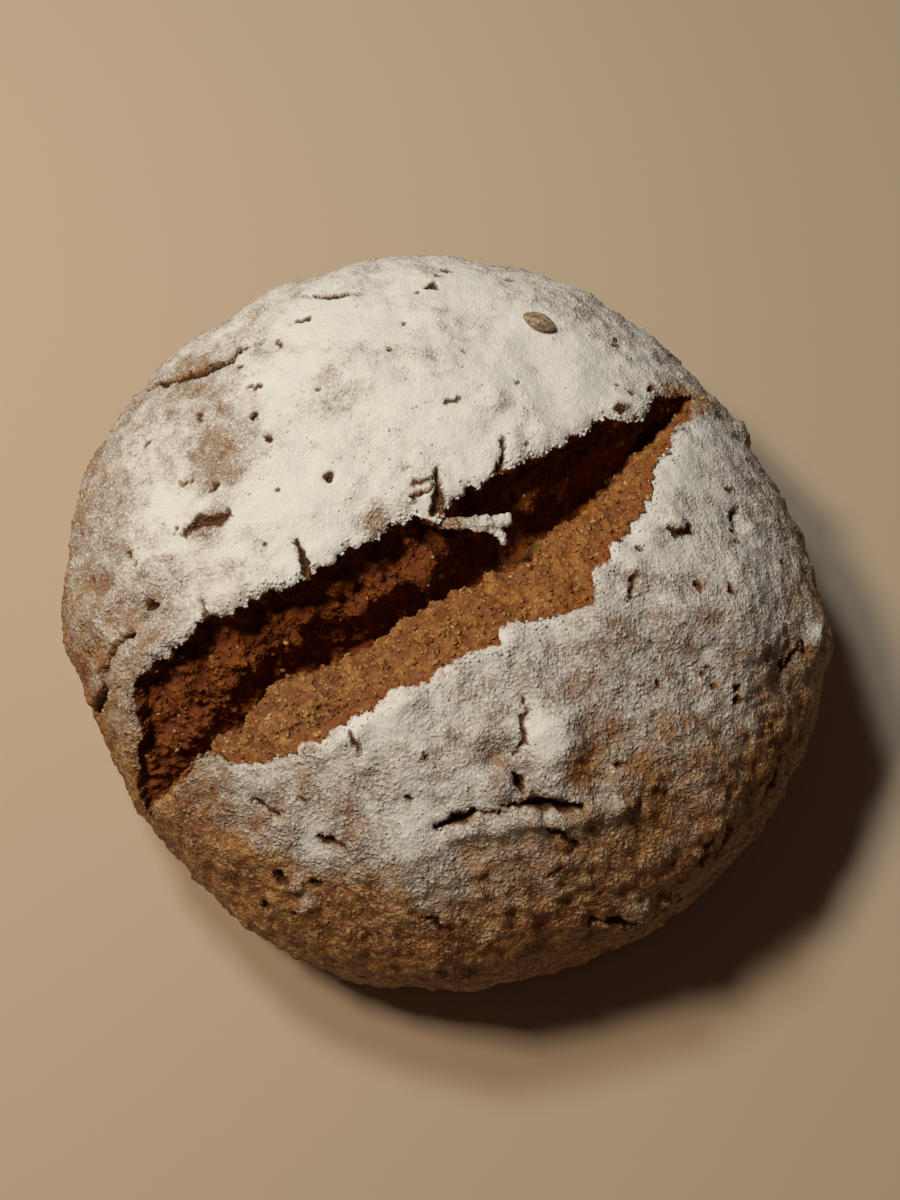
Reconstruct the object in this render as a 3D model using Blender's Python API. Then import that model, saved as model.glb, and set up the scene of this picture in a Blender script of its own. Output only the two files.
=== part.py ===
"""A round rye loaf that burst open along one line as it baked, with its crust, lips and crumb.

The loaf is one solid. It stands on its flat base, with +Z up and the origin at the bottom centre
of its bounding box. Lengths are in millimetres until a mesh is made, in metres.

Places on the crust are given on a flat map of it, as if the crust were peeled off and laid out.
The crown is at (0, 0), "along" runs along the burst, "across" runs square to it towards the high
lip, and the distance from (0, 0) is the way over the crust from the crown.
"""
import math
import random

import bpy
import numpy as np
from mathutils import Matrix, Vector, geometry, kdtree, noise

MM = 0.001

# The dome: a crown above the belt, where the loaf is widest, and a tucked-in foot below it.
BELT_RADIUS = 100.0
HEIGHT = 84.0
BELT_HEIGHT = 30.0
FOOT_TUCK = 14.0
SHOULDER_FULLNESS = 2.25
CROWN_FULLNESS = 2.1
# The belt's slow waves: how many round the loaf, how far they reach, the bearing of one peak.
BELT_WAVES = ((2, 3.6, -57.0), (3, 0.5, -13.0), (4, 1.3, -13.0), (6, 0.5, -3.0))
BURST_BEARING = math.radians(41.0)

# The two lips of the burst as (along, across). They share their first and last points.
HIGH_LIP = (
    (-120, -1), (-110, 7), (-104, 11), (-97, 14), (-93, 19), (-87, 25), (-82, 23), (-74, 21),
    (-64, 20.5), (-54, 15), (-46, 12), (-39, 9), (-30, 8), (-19, 5), (-10, 4), (-4, 1),
    (5, -0.5), (15, -1), (23, -2), (34, -3), (46, -2.5), (53, -4), (57, -7.5), (61, -9.5),
    (65, -9), (70, -6.5), (76, -5), (82, -6), (88, -11))
LOW_LIP = (
    (-120, -1), (-108, -1), (-95, -4.5), (-89, -3), (-82, -6.5), (-78, -15), (-68, -20.5),
    (-57, -24), (-50, -26), (-37, -26.5), (-32, -30.5), (-26, -29), (-12, -34.5), (-6, -31),
    (2, -36.5), (9, -39.5), (14, -39), (17, -35), (31, -32), (40, -30.5), (49, -28),
    (52, -24), (60, -23), (70, -18.5), (80, -16), (88, -11))

# Stations along the burst. Three lines run along it between the lips: the edge of the crumb that
# slopes down from the low lip, the bottom of the valley, and a ledge on the far wall. Each has
# its share of the way from the low lip to the high one, and its depth under the crust.
BURST_STATIONS = (
    # along, edge share, edge depth, valley share, valley depth, ledge share, ledge depth
    (-120, 0.30, 0.0, 0.45, 0.0, 0.60, 0.0),
    (-105, 0.14, 5.0, 0.30, 12.0, 0.48, 8.0),
    (-88, 0.14, 5.5, 0.27, 18.0, 0.42, 11.0),
    (-77, 0.28, 5.5, 0.42, 20.0, 0.54, 12.0),
    (-66, 0.42, 6.0, 0.58, 22.0, 0.70, 13.0),
    (-58, 0.50, 6.5, 0.69, 23.0, 0.84, 13.0),
    (-46, 0.46, 7.0, 0.67, 24.0, 0.82, 13.0),
    (-24, 0.46, 7.0, 0.63, 24.0, 0.80, 13.0),
    (4, 0.50, 7.5, 0.69, 24.0, 0.85, 13.0),
    (17, 0.45, 7.5, 0.65, 23.0, 0.82, 13.0),
    (31, 0.38, 7.0, 0.60, 22.0, 0.80, 12.0),
    (48, 0.34, 6.0, 0.58, 20.0, 0.80, 11.0),
    (63, 0.34, 4.5, 0.62, 13.0, 0.84, 7.5),
    (78, 0.34, 3.0, 0.62, 9.0, 0.80, 5.0),
    (88, 0.30, 0.0, 0.50, 0.0, 0.70, 0.0))
CRUST_STEP = 1.8          # height of the broken crust's edge at either lip
LIP_UNDERCUT = 3.0        # how far the far wall runs in under the high lip
LIP_UNDERCUT_DEPTH = 6.5
VALLEY_HALF_WIDTH = 2.0
LIP_EVENING = 9.0         # how far along the burst a lip's teeth are evened out in the walls

# Bumps as (along, across, radius, height): covered grains, blisters and swellings.
BUMPS = (
    (-19, -60, 8.0, 3.2), (-33, -55.5, 5.0, 1.8), (44, -38.5, 4.5, 1.6), (-42, 39.5, 7.0, 2.2),
    (-92, 60, 13.0, 2.2), (69, -83, 10.0, 2.4), (100, -27, 5.0, 1.8), (-57, -24, 9.0, 1.2),
    (12, -44, 9.0, 1.4), (-12, -40, 8.0, 1.2), (-78, -20, 8.0, 1.2), (30, 12, 16.0, 1.4),
    (-30, 20, 14.0, 1.2), (64, -9, 6.0, 1.2), (-8, -96, 14.0, 1.8), (-62, -60, 12.0, 1.6),
    (10, -78, 12.0, 1.5), (38, -64, 11.0, 1.4), (-14, 96, 12.0, 1.6), (30, 90, 14.0, 1.6))
# Cracks as (width, depth, points).
CRACKS = (
    (4.4, 5.0, ((-49, -56), (-43, -58), (-36, -62), (-28, -66.5), (-19, -74))),
    (2.6, 2.2, ((-29, -70), (-25, -82))),
    (3.0, 3.2, ((-18, -49), (-24, -54.5), (-29, -60.5))),
    (4.4, 4.0, ((-22, 94), (-17, 84), (-11.5, 78), (-4.5, 75), (1, 73))),
    (3.0, 2.6, ((22, 78), (29, 69))),
    (3.0, 3.0, ((-31.5, 16.5), (-33, 13), (-35.5, 9.5))),
    (2.6, 2.6, ((-60, 25), (-61, 21.5))),
    (3.2, 3.0, ((8, 8), (4, 5), (-3, 4))),
    (2.6, 2.6, ((25, 5), (20, -0.5))),
    (3.0, 2.8, ((67, -43), (62, -47.5))),
    (5.0, 5.0, ((-36, -101), (-23, -106), (-8, -111))),
    (4.0, 3.6, ((-88, -41), (-84, -49))),
    (3.2, 2.6, ((-72, -40.5), (-69, -45.5))),
    (3.0, 2.4, ((-79, -24), (-78.5, -28.5))),
    (3.0, 2.4, ((-64.5, -71.5), (-64.5, -76))),
    (3.4, 2.8, ((-4, -100), (6, -106), (18, -109))),
    (4.6, 4.6, ((-103, 32), (-98, 37), (-93, 39))))
# Pits as (along, across, radius, depth).
PITS = (
    (46, 58, 1.8, 2.6), (57.5, 62.5, 1.5, 2.0), (68.5, 49.5, 1.4, 1.6), (-15, 52.5, 2.0, 2.6),
    (-17, 43, 2.0, 2.4), (-13.5, 24, 2.0, 3.0), (-35, 43.5, 2.4, 2.4), (-39, 71.5, 1.7, 1.8),
    (-70.5, 35.5, 2.4, 3.4), (-62.5, 50, 1.7, 1.8), (65, -51, 1.8, 2.4), (36, -52.5, 2.2, 2.4),
    (30, -37, 1.8, 2.2), (-94, -47, 2.2, 2.4))

# Unevenness of the whole crust, and of the crumb in the burst.
CRUST_LUMP_SIZE = 34.0
CRUST_LUMP_HEIGHT = 2.4
CRAG_SIZE = 9.0
CRAG_HEIGHT = 2.7
# Small tears along both lips.
TEAR_SIZE = 5.0
TEAR_DEPTH = 2.0

# A strip of crust that stayed behind on the high lip and reaches over the burst, forked at its
# tip. Each prong is given by its spine as (along, across, height above the crust, width).
TONGUE_THICKNESS = 2.2
TONGUE_PRONGS = (
    ((-2.0, 4.0, -2.6, 4.2), (0.5, -1.5, -1.0, 4.2), (3.5, -6.0, -0.4, 4.0),
     (7.0, -9.0, -0.2, 4.4), (11.0, -11.5, -0.6, 3.2)),
    ((3.5, -7.5, -0.8, 3.0), (6.5, -12.0, -1.0, 3.2), (8.5, -15.5, -1.8, 2.2)))

# One whole grain baked onto the crust, by the two ends of its long axis.
GRAIN_ENDS = ((57.0, 32.5), (61.0, 24.0))
GRAIN_WIDTH = 5.4
GRAIN_THICKNESS = 3.6
GRAIN_SHOWS = 0.3         # share of the thickness that the grain's middle stands above the crust

# Mesh fineness: the usual length of an edge.
CRUST_EDGE = 5.2
CRUMB_EDGE = 3.5
FOOT_EDGE = 16.0
SEED = 7

CRUST_COLOUR = (0.47, 0.39, 0.30)
CRUMB_COLOUR = (0.22, 0.09, 0.035)
GRAIN_COLOUR = (0.30, 0.22, 0.12)


def meridian(steps=300):
    """The dome's section: way over the crust from the crown, share of the belt's radius, height."""
    turn = np.linspace(0.0, math.pi / 2, steps)
    crown_reach = np.sin(turn) ** (2 / SHOULDER_FULLNESS)
    crown_height = BELT_HEIGHT + (HEIGHT - BELT_HEIGHT) * np.cos(turn) ** (2 / CROWN_FULLNESS)
    foot_reach = 1 - FOOT_TUCK / BELT_RADIUS * (1 - np.cos(turn[1:]))
    foot_height = BELT_HEIGHT * (1 - np.sin(turn[1:]))
    reach = np.concatenate((crown_reach, foot_reach))
    height = np.concatenate((crown_height, foot_height))
    steps_long = np.hypot(np.diff(reach * BELT_RADIUS), np.diff(height))
    return np.concatenate(([0.0], np.cumsum(steps_long))), reach, height


WAY, REACH, RISE = meridian()
FOOT_WAY = WAY[-1]


def belt_radius(bearing):
    """The belt's radius at a bearing from +X."""
    radius = np.full_like(bearing, BELT_RADIUS)
    for count, size, peak in BELT_WAVES:
        radius += size * np.cos(count * (bearing - math.radians(peak)))
    return radius


def dome(along, across):
    """The smooth dome's points for places on the map of the crust."""
    way = np.hypot(along, across)
    bearing = np.arctan2(across, along) + BURST_BEARING
    radius = belt_radius(bearing) * np.interp(way, WAY, REACH)
    height = np.interp(way, WAY, RISE)
    return np.stack((radius * np.cos(bearing), radius * np.sin(bearing), height), axis=-1)


def dome_outward(along, across, reach=1.0):
    """The way straight out of the dome, from points a little apart on it."""
    ahead = dome(along + reach, across) - dome(along - reach, across)
    aside = dome(along, across + reach) - dome(along, across - reach)
    out = np.cross(ahead, aside)
    return out / np.linalg.norm(out, axis=-1, keepdims=True)


def resample(line, spacing):
    """Points evenly spaced along a line, with its two ends kept."""
    line = np.array(line, dtype=float)
    way = np.concatenate(([0.0], np.cumsum(np.linalg.norm(np.diff(line, axis=0), axis=1))))
    count = max(2, round(way[-1] / spacing) + 1)
    at = np.linspace(0.0, way[-1], count)
    return np.stack((np.interp(at, way, line[:, 0]), np.interp(at, way, line[:, 1])), axis=-1)


def soften(line):
    """One round of corner cutting on lines of points stored along the second last axis."""
    early = 0.75 * line[..., :-1, :] + 0.25 * line[..., 1:, :]
    late = 0.25 * line[..., :-1, :] + 0.75 * line[..., 1:, :]
    pairs = np.stack((early, late), axis=-2)
    middle = pairs.reshape(*line.shape[:-2], -1, line.shape[-1])
    return np.concatenate((line[..., :1, :], middle, line[..., -1:, :]), axis=-2)


def slow_line(along, lip):
    """A lip's place across the burst with its teeth and notches evened out."""
    shifts = (-LIP_EVENING, 0.0, LIP_EVENING)
    return sum(np.interp(along + shift, lip[:, 0], lip[:, 1]) for shift in shifts) / len(shifts)


def burst_sections(along, low_lip, high_lip):
    """The burst's section at each place along it, as lines of (across, depth) from lip to lip."""
    stations = np.array(BURST_STATIONS, dtype=float)
    edge_share, edge_depth, valley_share, valley_depth, ledge_share, ledge_depth = (
        np.interp(along, stations[:, 0], stations[:, column]) for column in range(1, 7))
    low = np.interp(along, low_lip[:, 0], low_lip[:, 1])
    high = np.interp(along, high_lip[:, 0], high_lip[:, 1])
    open_share = valley_depth / np.max(stations[:, 4])
    low_wall = low + open_share * (slow_line(along, low_lip) - low)
    high_wall = high + open_share * (slow_line(along, high_lip) - high)
    width = high_wall - low_wall
    valley = low_wall + valley_share * width
    half = VALLEY_HALF_WIDTH * open_share
    step = CRUST_STEP * open_share
    corners = (
        (low, 0 * low),
        (low + 0.4 * open_share, step),
        (low_wall + 0.5 * edge_share * width, 0.35 * edge_depth + 0.8 * step),
        (low_wall + edge_share * width, edge_depth),
        (valley - half, valley_depth),
        (valley + half, valley_depth),
        (low_wall + ledge_share * width, ledge_depth),
        (high_wall + LIP_UNDERCUT * open_share, LIP_UNDERCUT_DEPTH * open_share),
        (high + 0.3 * open_share, step),
        (high, 0 * high))
    lines = np.stack([np.stack(corner, axis=-1) for corner in corners], axis=-2)
    return soften(soften(lines))


def section_lengths(lines):
    """The way along each section, from its low lip to each of its points."""
    steps = np.linalg.norm(np.diff(lines, axis=-2), axis=-1)
    start = np.zeros((*steps.shape[:-1], 1))
    return np.concatenate((start, np.cumsum(steps, axis=-1)), axis=-1)


def burst_points(along, way, low_lip, high_lip):
    """Points on the burst's walls, by the place along it and the way along the section."""
    lines = burst_sections(along, low_lip, high_lip)
    lengths = section_lengths(lines)
    across = np.array([np.interp(w, l, p[:, 0]) for w, l, p in zip(way, lengths, lines)])
    depth = np.array([np.interp(w, l, p[:, 1]) for w, l, p in zip(way, lengths, lines)])
    middle = 0.5 * (np.interp(along, low_lip[:, 0], low_lip[:, 1])
                    + np.interp(along, high_lip[:, 0], high_lip[:, 1]))
    return dome(along, across) - depth[:, None] * dome_outward(along, middle)


def distance_to_line(along, across, line):
    """The distance from each place to the nearest part of a line."""
    nearest = np.full(along.shape, np.inf)
    for (a0, b0), (a1, b1) in zip(line[:-1], line[1:]):
        run = np.array((a1 - a0, b1 - b0))
        share = ((along - a0) * run[0] + (across - b0) * run[1]) / run.dot(run)
        share = np.clip(share, 0.0, 1.0)
        gap = np.hypot(along - a0 - share * run[0], across - b0 - share * run[1])
        nearest = np.minimum(nearest, gap)
    return nearest


def crust_relief(along, across):
    """How far the crust stands out from the dome at each place on the map."""
    relief = np.array([
        CRUST_LUMP_HEIGHT * noise.fractal(Vector((a, b, SEED)) / CRUST_LUMP_SIZE, 1.0, 2.0, 3)
        for a, b in zip(along, across)])
    for a, b, radius, height in BUMPS:
        far = np.hypot(along - a, across - b) / radius
        relief += height * np.exp(-1.4 * far ** 2)
    for a, b, radius, depth in PITS:
        far = np.hypot(along - a, across - b) / radius
        relief -= depth * np.clip(1.3 * (1 - far), 0.0, 1.0)
    for width, depth, line in CRACKS:
        far = distance_to_line(along, across, line) / (width / 2)
        relief -= depth * np.clip(1.2 * (1 - far), 0.0, 1.0)
    settle = np.clip((FOOT_WAY - np.hypot(along, across)) / (0.5 * BELT_HEIGHT), 0.0, 1.0)
    return relief * settle


def feature_places():
    """Places on the map that the crust's mesh needs to have its cracks and pits in it."""
    places = []
    for width, _, line in CRACKS:
        row = resample(line, 0.8 * CRUST_EDGE)
        run = np.gradient(row, axis=0)
        side = np.stack((-run[:, 1], run[:, 0]), axis=-1)
        side *= 0.55 * width / np.linalg.norm(side, axis=1, keepdims=True)
        places.extend((row, row + side, row - side))
    for a, b, radius, _ in PITS:
        turn = np.arange(5) * math.tau / 5
        ring = np.stack((a + radius * np.cos(turn), b + radius * np.sin(turn)), axis=-1)
        places.extend((np.array(((a, b),)), ring))
    return np.concatenate(places)


def ring_places(spacing, draw):
    """Places in rings round the crown, as far apart as the loaf's true girth allows."""
    places = [(0.0, 0.0)]
    for way in np.arange(spacing, FOOT_WAY - 0.6 * spacing, 0.87 * spacing):
        girth = math.tau * BELT_RADIUS * np.interp(way, WAY, REACH)
        count = round(girth / spacing)
        first = draw.random()
        for step in range(count):
            turn = math.tau * (step + first) / count
            places.append((way * math.cos(turn), way * math.sin(turn)))
    return np.array(places)


def thin_out(places, fixed, clearance):
    """The places that keep clear of the fixed ones."""
    tree = kdtree.KDTree(len(fixed))
    for number, place in enumerate(fixed):
        tree.insert((*place, 0.0), number)
    tree.balance()
    return np.array([place for place in places if tree.find((*place, 0.0))[2] > clearance])


def between(places, lower, upper):
    """Which places lie between two lines that run from one end of the burst to the other."""
    low = np.interp(places[:, 0], lower[:, 0], lower[:, 1], left=np.inf, right=np.inf)
    high = np.interp(places[:, 0], upper[:, 0], upper[:, 1], left=-np.inf, right=-np.inf)
    return (places[:, 1] > low) & (places[:, 1] < high)


def triangulate(places, loop_length):
    """Triangles between places in a plane. The first of them are a loop whose edges are kept."""
    loop = [(number, (number + 1) % loop_length) for number in range(loop_length)]
    corners, _, faces, *_ = geometry.delaunay_2d_cdt(
        [Vector(place) for place in places], loop, [], 0, 1e-7)
    if len(corners) != len(places):
        raise RuntimeError("two places of the mesh coincide")
    return np.array(faces)


def round_trip(low_line, high_line):
    """One loop out along the low line and back along the high one, whose ends they share."""
    return np.concatenate((low_line, high_line[-2:0:-1]))


def ragged(line):
    """A lip with small tears across it. Its two ends stay where they are."""
    torn = line.copy()
    for number in range(1, len(line) - 1):
        where = Vector((*line[number], 0.0)) / TEAR_SIZE
        torn[number, 1] += TEAR_DEPTH * noise.noise(where)
    return torn


def crust_patch(low_lip, high_lip, foot):
    """The crust on its map, open at the burst: places, triangles, points."""
    lips = round_trip(low_lip, high_lip)
    features = thin_out(feature_places(), lips, 0.5 * CRUMB_EDGE)
    fixed = np.concatenate((lips, foot, features))
    rings = thin_out(ring_places(CRUST_EDGE, random.Random(SEED)), fixed, 0.62 * CRUST_EDGE)
    inner = np.concatenate((features, rings))
    inner = inner[~between(inner, low_lip, high_lip)]
    places = np.concatenate((lips, foot, inner))
    faces = triangulate(places, len(lips))
    faces = faces[~between(places[faces].mean(axis=1), low_lip, high_lip)]
    along, across = places.T
    points = dome(along, across)
    points += crust_relief(along, across)[:, None] * dome_outward(along, across)
    return points, faces


def burst_patch(low_lip, high_lip):
    """The burst's walls, laid out with each section unrolled from the low lip.

    The triangles count the lips' loop first and then the inner points. Only the inner points are
    returned, with the height of their crags, which is less near the lips and in narrow places.
    """
    total = section_lengths(burst_sections(high_lip[:, 0], low_lip, high_lip))[:, -1]
    total[[0, -1]] = 0.0
    low_line = np.stack((low_lip[:, 0], np.zeros(len(low_lip))), axis=-1)
    high_line = np.stack((high_lip[:, 0], total), axis=-1)
    lips = round_trip(low_line, high_line)
    grid = []
    columns = np.arange(high_lip[0, 0], high_lip[-1, 0], 0.87 * CRUMB_EDGE)
    for column, along in enumerate(columns):
        start = 0.5 * CRUMB_EDGE * (1 + column % 2)
        grid.extend((along, way) for way in np.arange(start, total.max(), CRUMB_EDGE))
    grid = thin_out(np.array(grid), lips, 0.62 * CRUMB_EDGE)
    grid = grid[between(grid + (0.0, 0.3 * CRUMB_EDGE), low_line, high_line)]
    places = np.concatenate((lips, grid))
    faces = triangulate(places, len(lips))
    faces = faces[between(places[faces].mean(axis=1), low_line, high_line)]
    along, way = grid.T
    full_way = np.interp(along, high_lip[:, 0], total)
    from_lip = np.minimum(way, full_way - way)
    crag_heights = CRAG_HEIGHT * np.clip(from_lip / CRAG_SIZE, 0.0, 1.0) * full_way / total.max()
    return burst_points(along, way, low_lip, high_lip), faces, crag_heights


def base_patch(ring):
    """The flat base inside the foot's ring: inner points, and triangles that face down."""
    steps = np.arange(-BELT_RADIUS, BELT_RADIUS, FOOT_EDGE)
    reach = REACH[-1] * BELT_RADIUS - FOOT_EDGE
    inner = np.array([(x, y) for x in steps for y in steps if math.hypot(x, y) < reach])
    faces = triangulate(np.concatenate((ring[:, :2], inner)), len(ring))
    return np.pad(inner, ((0, 0), (0, 1))), faces[:, ::-1]


def vertex_normals(points, faces):
    """The mean outward way at each vertex."""
    corners = points[faces]
    face_normals = np.cross(corners[:, 1] - corners[:, 0], corners[:, 2] - corners[:, 0])
    normals = np.zeros_like(points)
    for corner in range(3):
        np.add.at(normals, faces[:, corner], face_normals)
    return normals / np.linalg.norm(normals, axis=1, keepdims=True)


def loaf_mesh():
    """The crust, the burst's walls and the flat base as one closed mesh, in millimetres.

    The three patches share the vertices of the lips and of the foot's ring, which come first.
    """
    low_lip = ragged(resample(LOW_LIP, 0.8 * CRUMB_EDGE))
    high_lip = ragged(resample(HIGH_LIP, 0.8 * CRUMB_EDGE))
    foot_count = round(math.tau * BELT_RADIUS * REACH[-1] / CRUST_EDGE)
    foot_turn = np.arange(foot_count) * math.tau / foot_count
    foot = FOOT_WAY * np.stack((np.cos(foot_turn), np.sin(foot_turn)), axis=-1)
    crust, crust_faces = crust_patch(low_lip, high_lip, foot)
    walls, wall_faces, crag_heights = burst_patch(low_lip, high_lip)
    lip_count = len(low_lip) + len(high_lip) - 2
    base, base_faces = base_patch(crust[lip_count:lip_count + foot_count])

    first_wall = len(crust)
    first_base = first_wall + len(walls)
    points = np.concatenate((crust, walls, base))
    wall_faces[wall_faces >= lip_count] += first_wall - lip_count
    on_ring = base_faces < foot_count
    base_faces = np.where(on_ring, base_faces + lip_count, base_faces - foot_count + first_base)
    faces = np.concatenate((crust_faces, wall_faces, base_faces))
    slots = np.zeros(len(faces), dtype=int)
    slots[len(crust_faces):len(crust_faces) + len(wall_faces)] = 1

    # Crags in the crumb, pushed along its normals.
    normals = vertex_normals(points, faces)
    for number, height in enumerate(crag_heights, first_wall):
        where = Vector(points[number]) / CRAG_SIZE
        points[number] += height * noise.fractal(where, 1.0, 2.0, 2) * normals[number]
    return points, faces, slots


def new_material(name, colour, roughness):
    """A plain food surface."""
    material = bpy.data.materials.new(name)
    material.use_nodes = True
    shader = material.node_tree.nodes["Principled BSDF"]
    shader.inputs["Base Color"].default_value = (*colour, 1.0)
    shader.inputs["Roughness"].default_value = roughness
    shader.inputs["Metallic"].default_value = 0.0
    return material


def new_object(name, points, faces, materials, slots=None, collection=None):
    """An object from points in millimetres, with one material slot for each material."""
    mesh = bpy.data.meshes.new(name)
    mesh.from_pydata((np.asarray(points) * MM).tolist(), [], [list(map(int, face)) for face in faces])
    for material in materials:
        mesh.materials.append(material)
    if slots is not None:
        mesh.polygons.foreach_set("material_index", slots.tolist())
    mesh.shade_smooth()
    made = bpy.data.objects.new(name, mesh)
    (collection or bpy.context.scene.collection).objects.link(made)
    return made


def tongue_prong(spine, sides=8):
    """One prong as a flattened tube with closed ends, along its spine."""
    spine = np.array(spine, dtype=float)
    middle = dome(spine[:, 0], spine[:, 1]) + (0, 0, 1) * spine[:, 2:3]
    run = np.gradient(middle, axis=0)
    run /= np.linalg.norm(run, axis=1, keepdims=True)
    side = np.cross(run, (0.0, 0.0, 1.0))
    side /= np.linalg.norm(side, axis=1, keepdims=True)
    rise = np.cross(side, run)
    turn = np.arange(sides) * math.tau / sides
    points = [
        middle[k] + 0.5 * spine[k, 3] * math.cos(t) * side[k]
        + 0.5 * TONGUE_THICKNESS * math.sin(t) * rise[k]
        for k in range(len(spine)) for t in turn]
    faces = []
    for k in range(len(spine) - 1):
        for s in range(sides):
            here = k * sides + s
            beside = k * sides + (s + 1) % sides
            faces.append((here, here + sides, beside + sides, beside))
    last = (len(spine) - 1) * sides
    faces.append(tuple(range(sides)))
    faces.append(tuple(last + s for s in reversed(range(sides))))
    return np.array(points), faces


def add_tongue(material, collection):
    """The strip of crust over the burst, one tube for each prong."""
    for number, spine in enumerate(TONGUE_PRONGS):
        points, faces = tongue_prong(spine)
        new_object(f"tongue_{number}", points, faces, [material], collection=collection)


def add_grain(material, collection):
    """The whole grain: an ellipsoid sunk into the crust, its long axis from end to end."""
    ends = np.array(GRAIN_ENDS)
    along, across = ends.mean(axis=0)
    tips = dome(ends[:, 0], ends[:, 1])
    out = Vector(dome_outward(np.array([along]), np.array([across]))[0])
    long_way = Vector(tips[1] - tips[0])
    length = long_way.length
    long_way.normalize()
    side = out.cross(long_way).normalized()
    seat = dome(np.array([along]), np.array([across]))[0]
    seat += crust_relief(np.array([along]), np.array([across]))[0] * np.array(out)
    seat += GRAIN_SHOWS * GRAIN_THICKNESS * np.array(out)
    bpy.ops.mesh.primitive_ico_sphere_add(subdivisions=2, radius=1.0)
    grain = bpy.context.object
    grain.name = "grain"
    shape = Matrix.Diagonal((length / 2, GRAIN_WIDTH / 2, GRAIN_THICKNESS / 2)).to_4x4()
    turn = Matrix((long_way, side, long_way.cross(side))).transposed().to_4x4()
    grain.data.transform(Matrix.Scale(MM, 4) @ Matrix.Translation(seat) @ turn @ shape)
    grain.data.materials.append(material)
    grain.data.shade_smooth()
    for old in grain.users_collection:
        old.objects.unlink(grain)
    collection.objects.link(grain)


def fuse(loaf, collection):
    """Join a collection's pieces to the loaf with one Boolean union, and remove them."""
    union = loaf.modifiers.new("fuse", "BOOLEAN")
    union.operation = "UNION"
    union.operand_type = "COLLECTION"
    union.collection = collection
    union.solver = "EXACT"
    bpy.context.view_layer.objects.active = loaf
    bpy.ops.object.modifier_apply(modifier=union.name)
    for piece in list(collection.objects):
        bpy.data.objects.remove(piece)
    bpy.data.collections.remove(collection)


def stand_on_origin(loaf):
    """Move the mesh so that the bottom centre of its bounding box is at the origin."""
    places = np.array([vertex.co for vertex in loaf.data.vertices])
    low = places.min(axis=0)
    high = places.max(axis=0)
    centre = (low + high) / 2
    loaf.data.transform(Matrix.Translation((-centre[0], -centre[1], -low[2])))


def main():
    for old in list(bpy.data.objects):
        bpy.data.objects.remove(old)
    crust = new_material("floured_crust", CRUST_COLOUR, 0.9)
    crumb = new_material("rye_crumb", CRUMB_COLOUR, 0.85)
    kernel = new_material("rye_grain", GRAIN_COLOUR, 0.6)
    points, faces, slots = loaf_mesh()
    loaf = new_object("loaf", points, faces, [crust, crumb], slots)
    extras = bpy.data.collections.new("fused_pieces")
    bpy.context.scene.collection.children.link(extras)
    add_tongue(crust, extras)
    add_grain(kernel, extras)
    fuse(loaf, extras)
    stand_on_origin(loaf)


main()
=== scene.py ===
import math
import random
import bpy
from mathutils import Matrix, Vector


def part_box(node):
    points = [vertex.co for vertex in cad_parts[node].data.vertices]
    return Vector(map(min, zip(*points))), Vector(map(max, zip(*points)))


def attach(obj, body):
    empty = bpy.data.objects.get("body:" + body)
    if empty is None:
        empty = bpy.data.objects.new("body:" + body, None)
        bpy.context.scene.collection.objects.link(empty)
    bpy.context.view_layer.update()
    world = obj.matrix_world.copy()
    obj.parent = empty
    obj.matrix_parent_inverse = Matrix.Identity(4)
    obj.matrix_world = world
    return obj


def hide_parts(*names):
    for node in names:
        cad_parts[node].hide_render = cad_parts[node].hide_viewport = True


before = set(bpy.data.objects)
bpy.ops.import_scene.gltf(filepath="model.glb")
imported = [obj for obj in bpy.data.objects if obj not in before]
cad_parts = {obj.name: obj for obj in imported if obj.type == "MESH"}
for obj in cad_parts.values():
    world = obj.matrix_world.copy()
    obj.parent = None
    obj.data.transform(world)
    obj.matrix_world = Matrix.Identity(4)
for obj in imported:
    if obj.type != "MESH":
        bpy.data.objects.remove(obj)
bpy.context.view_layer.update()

# The looks of a floured round rye loaf with one long burst across its crown.
#
# One dense closed mesh, shaped from the same named values as the solid loaf, stands for the node
# "loaf": the crust with its cracks, ridges, pits and bumps, the torn lips, the craggy crumb in the
# burst, and the flat base. Small pieces go with it: the forked strip of crust over the burst, the
# whole grain, flour clumps, crumbs along the lips, loose crumbs and bran flecks in the burst.
# Lengths are in millimetres until something is placed in the scene, which is in metres.
#
# Places on the crust are given on a flat map of it: the crown is at (0, 0), "along" runs along the
# burst, "across" square to it towards the high lip, and the distance from (0, 0) is the way over
# the crust from the crown.

from types import SimpleNamespace

import bmesh
import bpy
import numpy as np
from mathutils import Matrix, Vector, geometry, kdtree, noise

MM = 0.001
SEED = 7

# ---------------------------------------------------------------- the loaf's form

BELT_RADIUS = 100.0       # where the loaf is widest, and how high above its base that is
BELT_HEIGHT = 30.0
HEIGHT = 84.0
FOOT_TUCK = 14.0          # how far the base is smaller than the belt, all round
SHOULDER_FULLNESS = 2.25  # 2 would make the dome's section an ellipse, and more makes it fuller
CROWN_FULLNESS = 2.1
# The belt's slow waves: how many round the loaf, how far they reach, the bearing of one peak.
BELT_WAVES = ((2, 3.6, -57.0), (3, 0.5, -13.0), (4, 1.3, -13.0), (6, 0.5, -3.0))
BURST_BEARING = math.radians(41.0)

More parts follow.
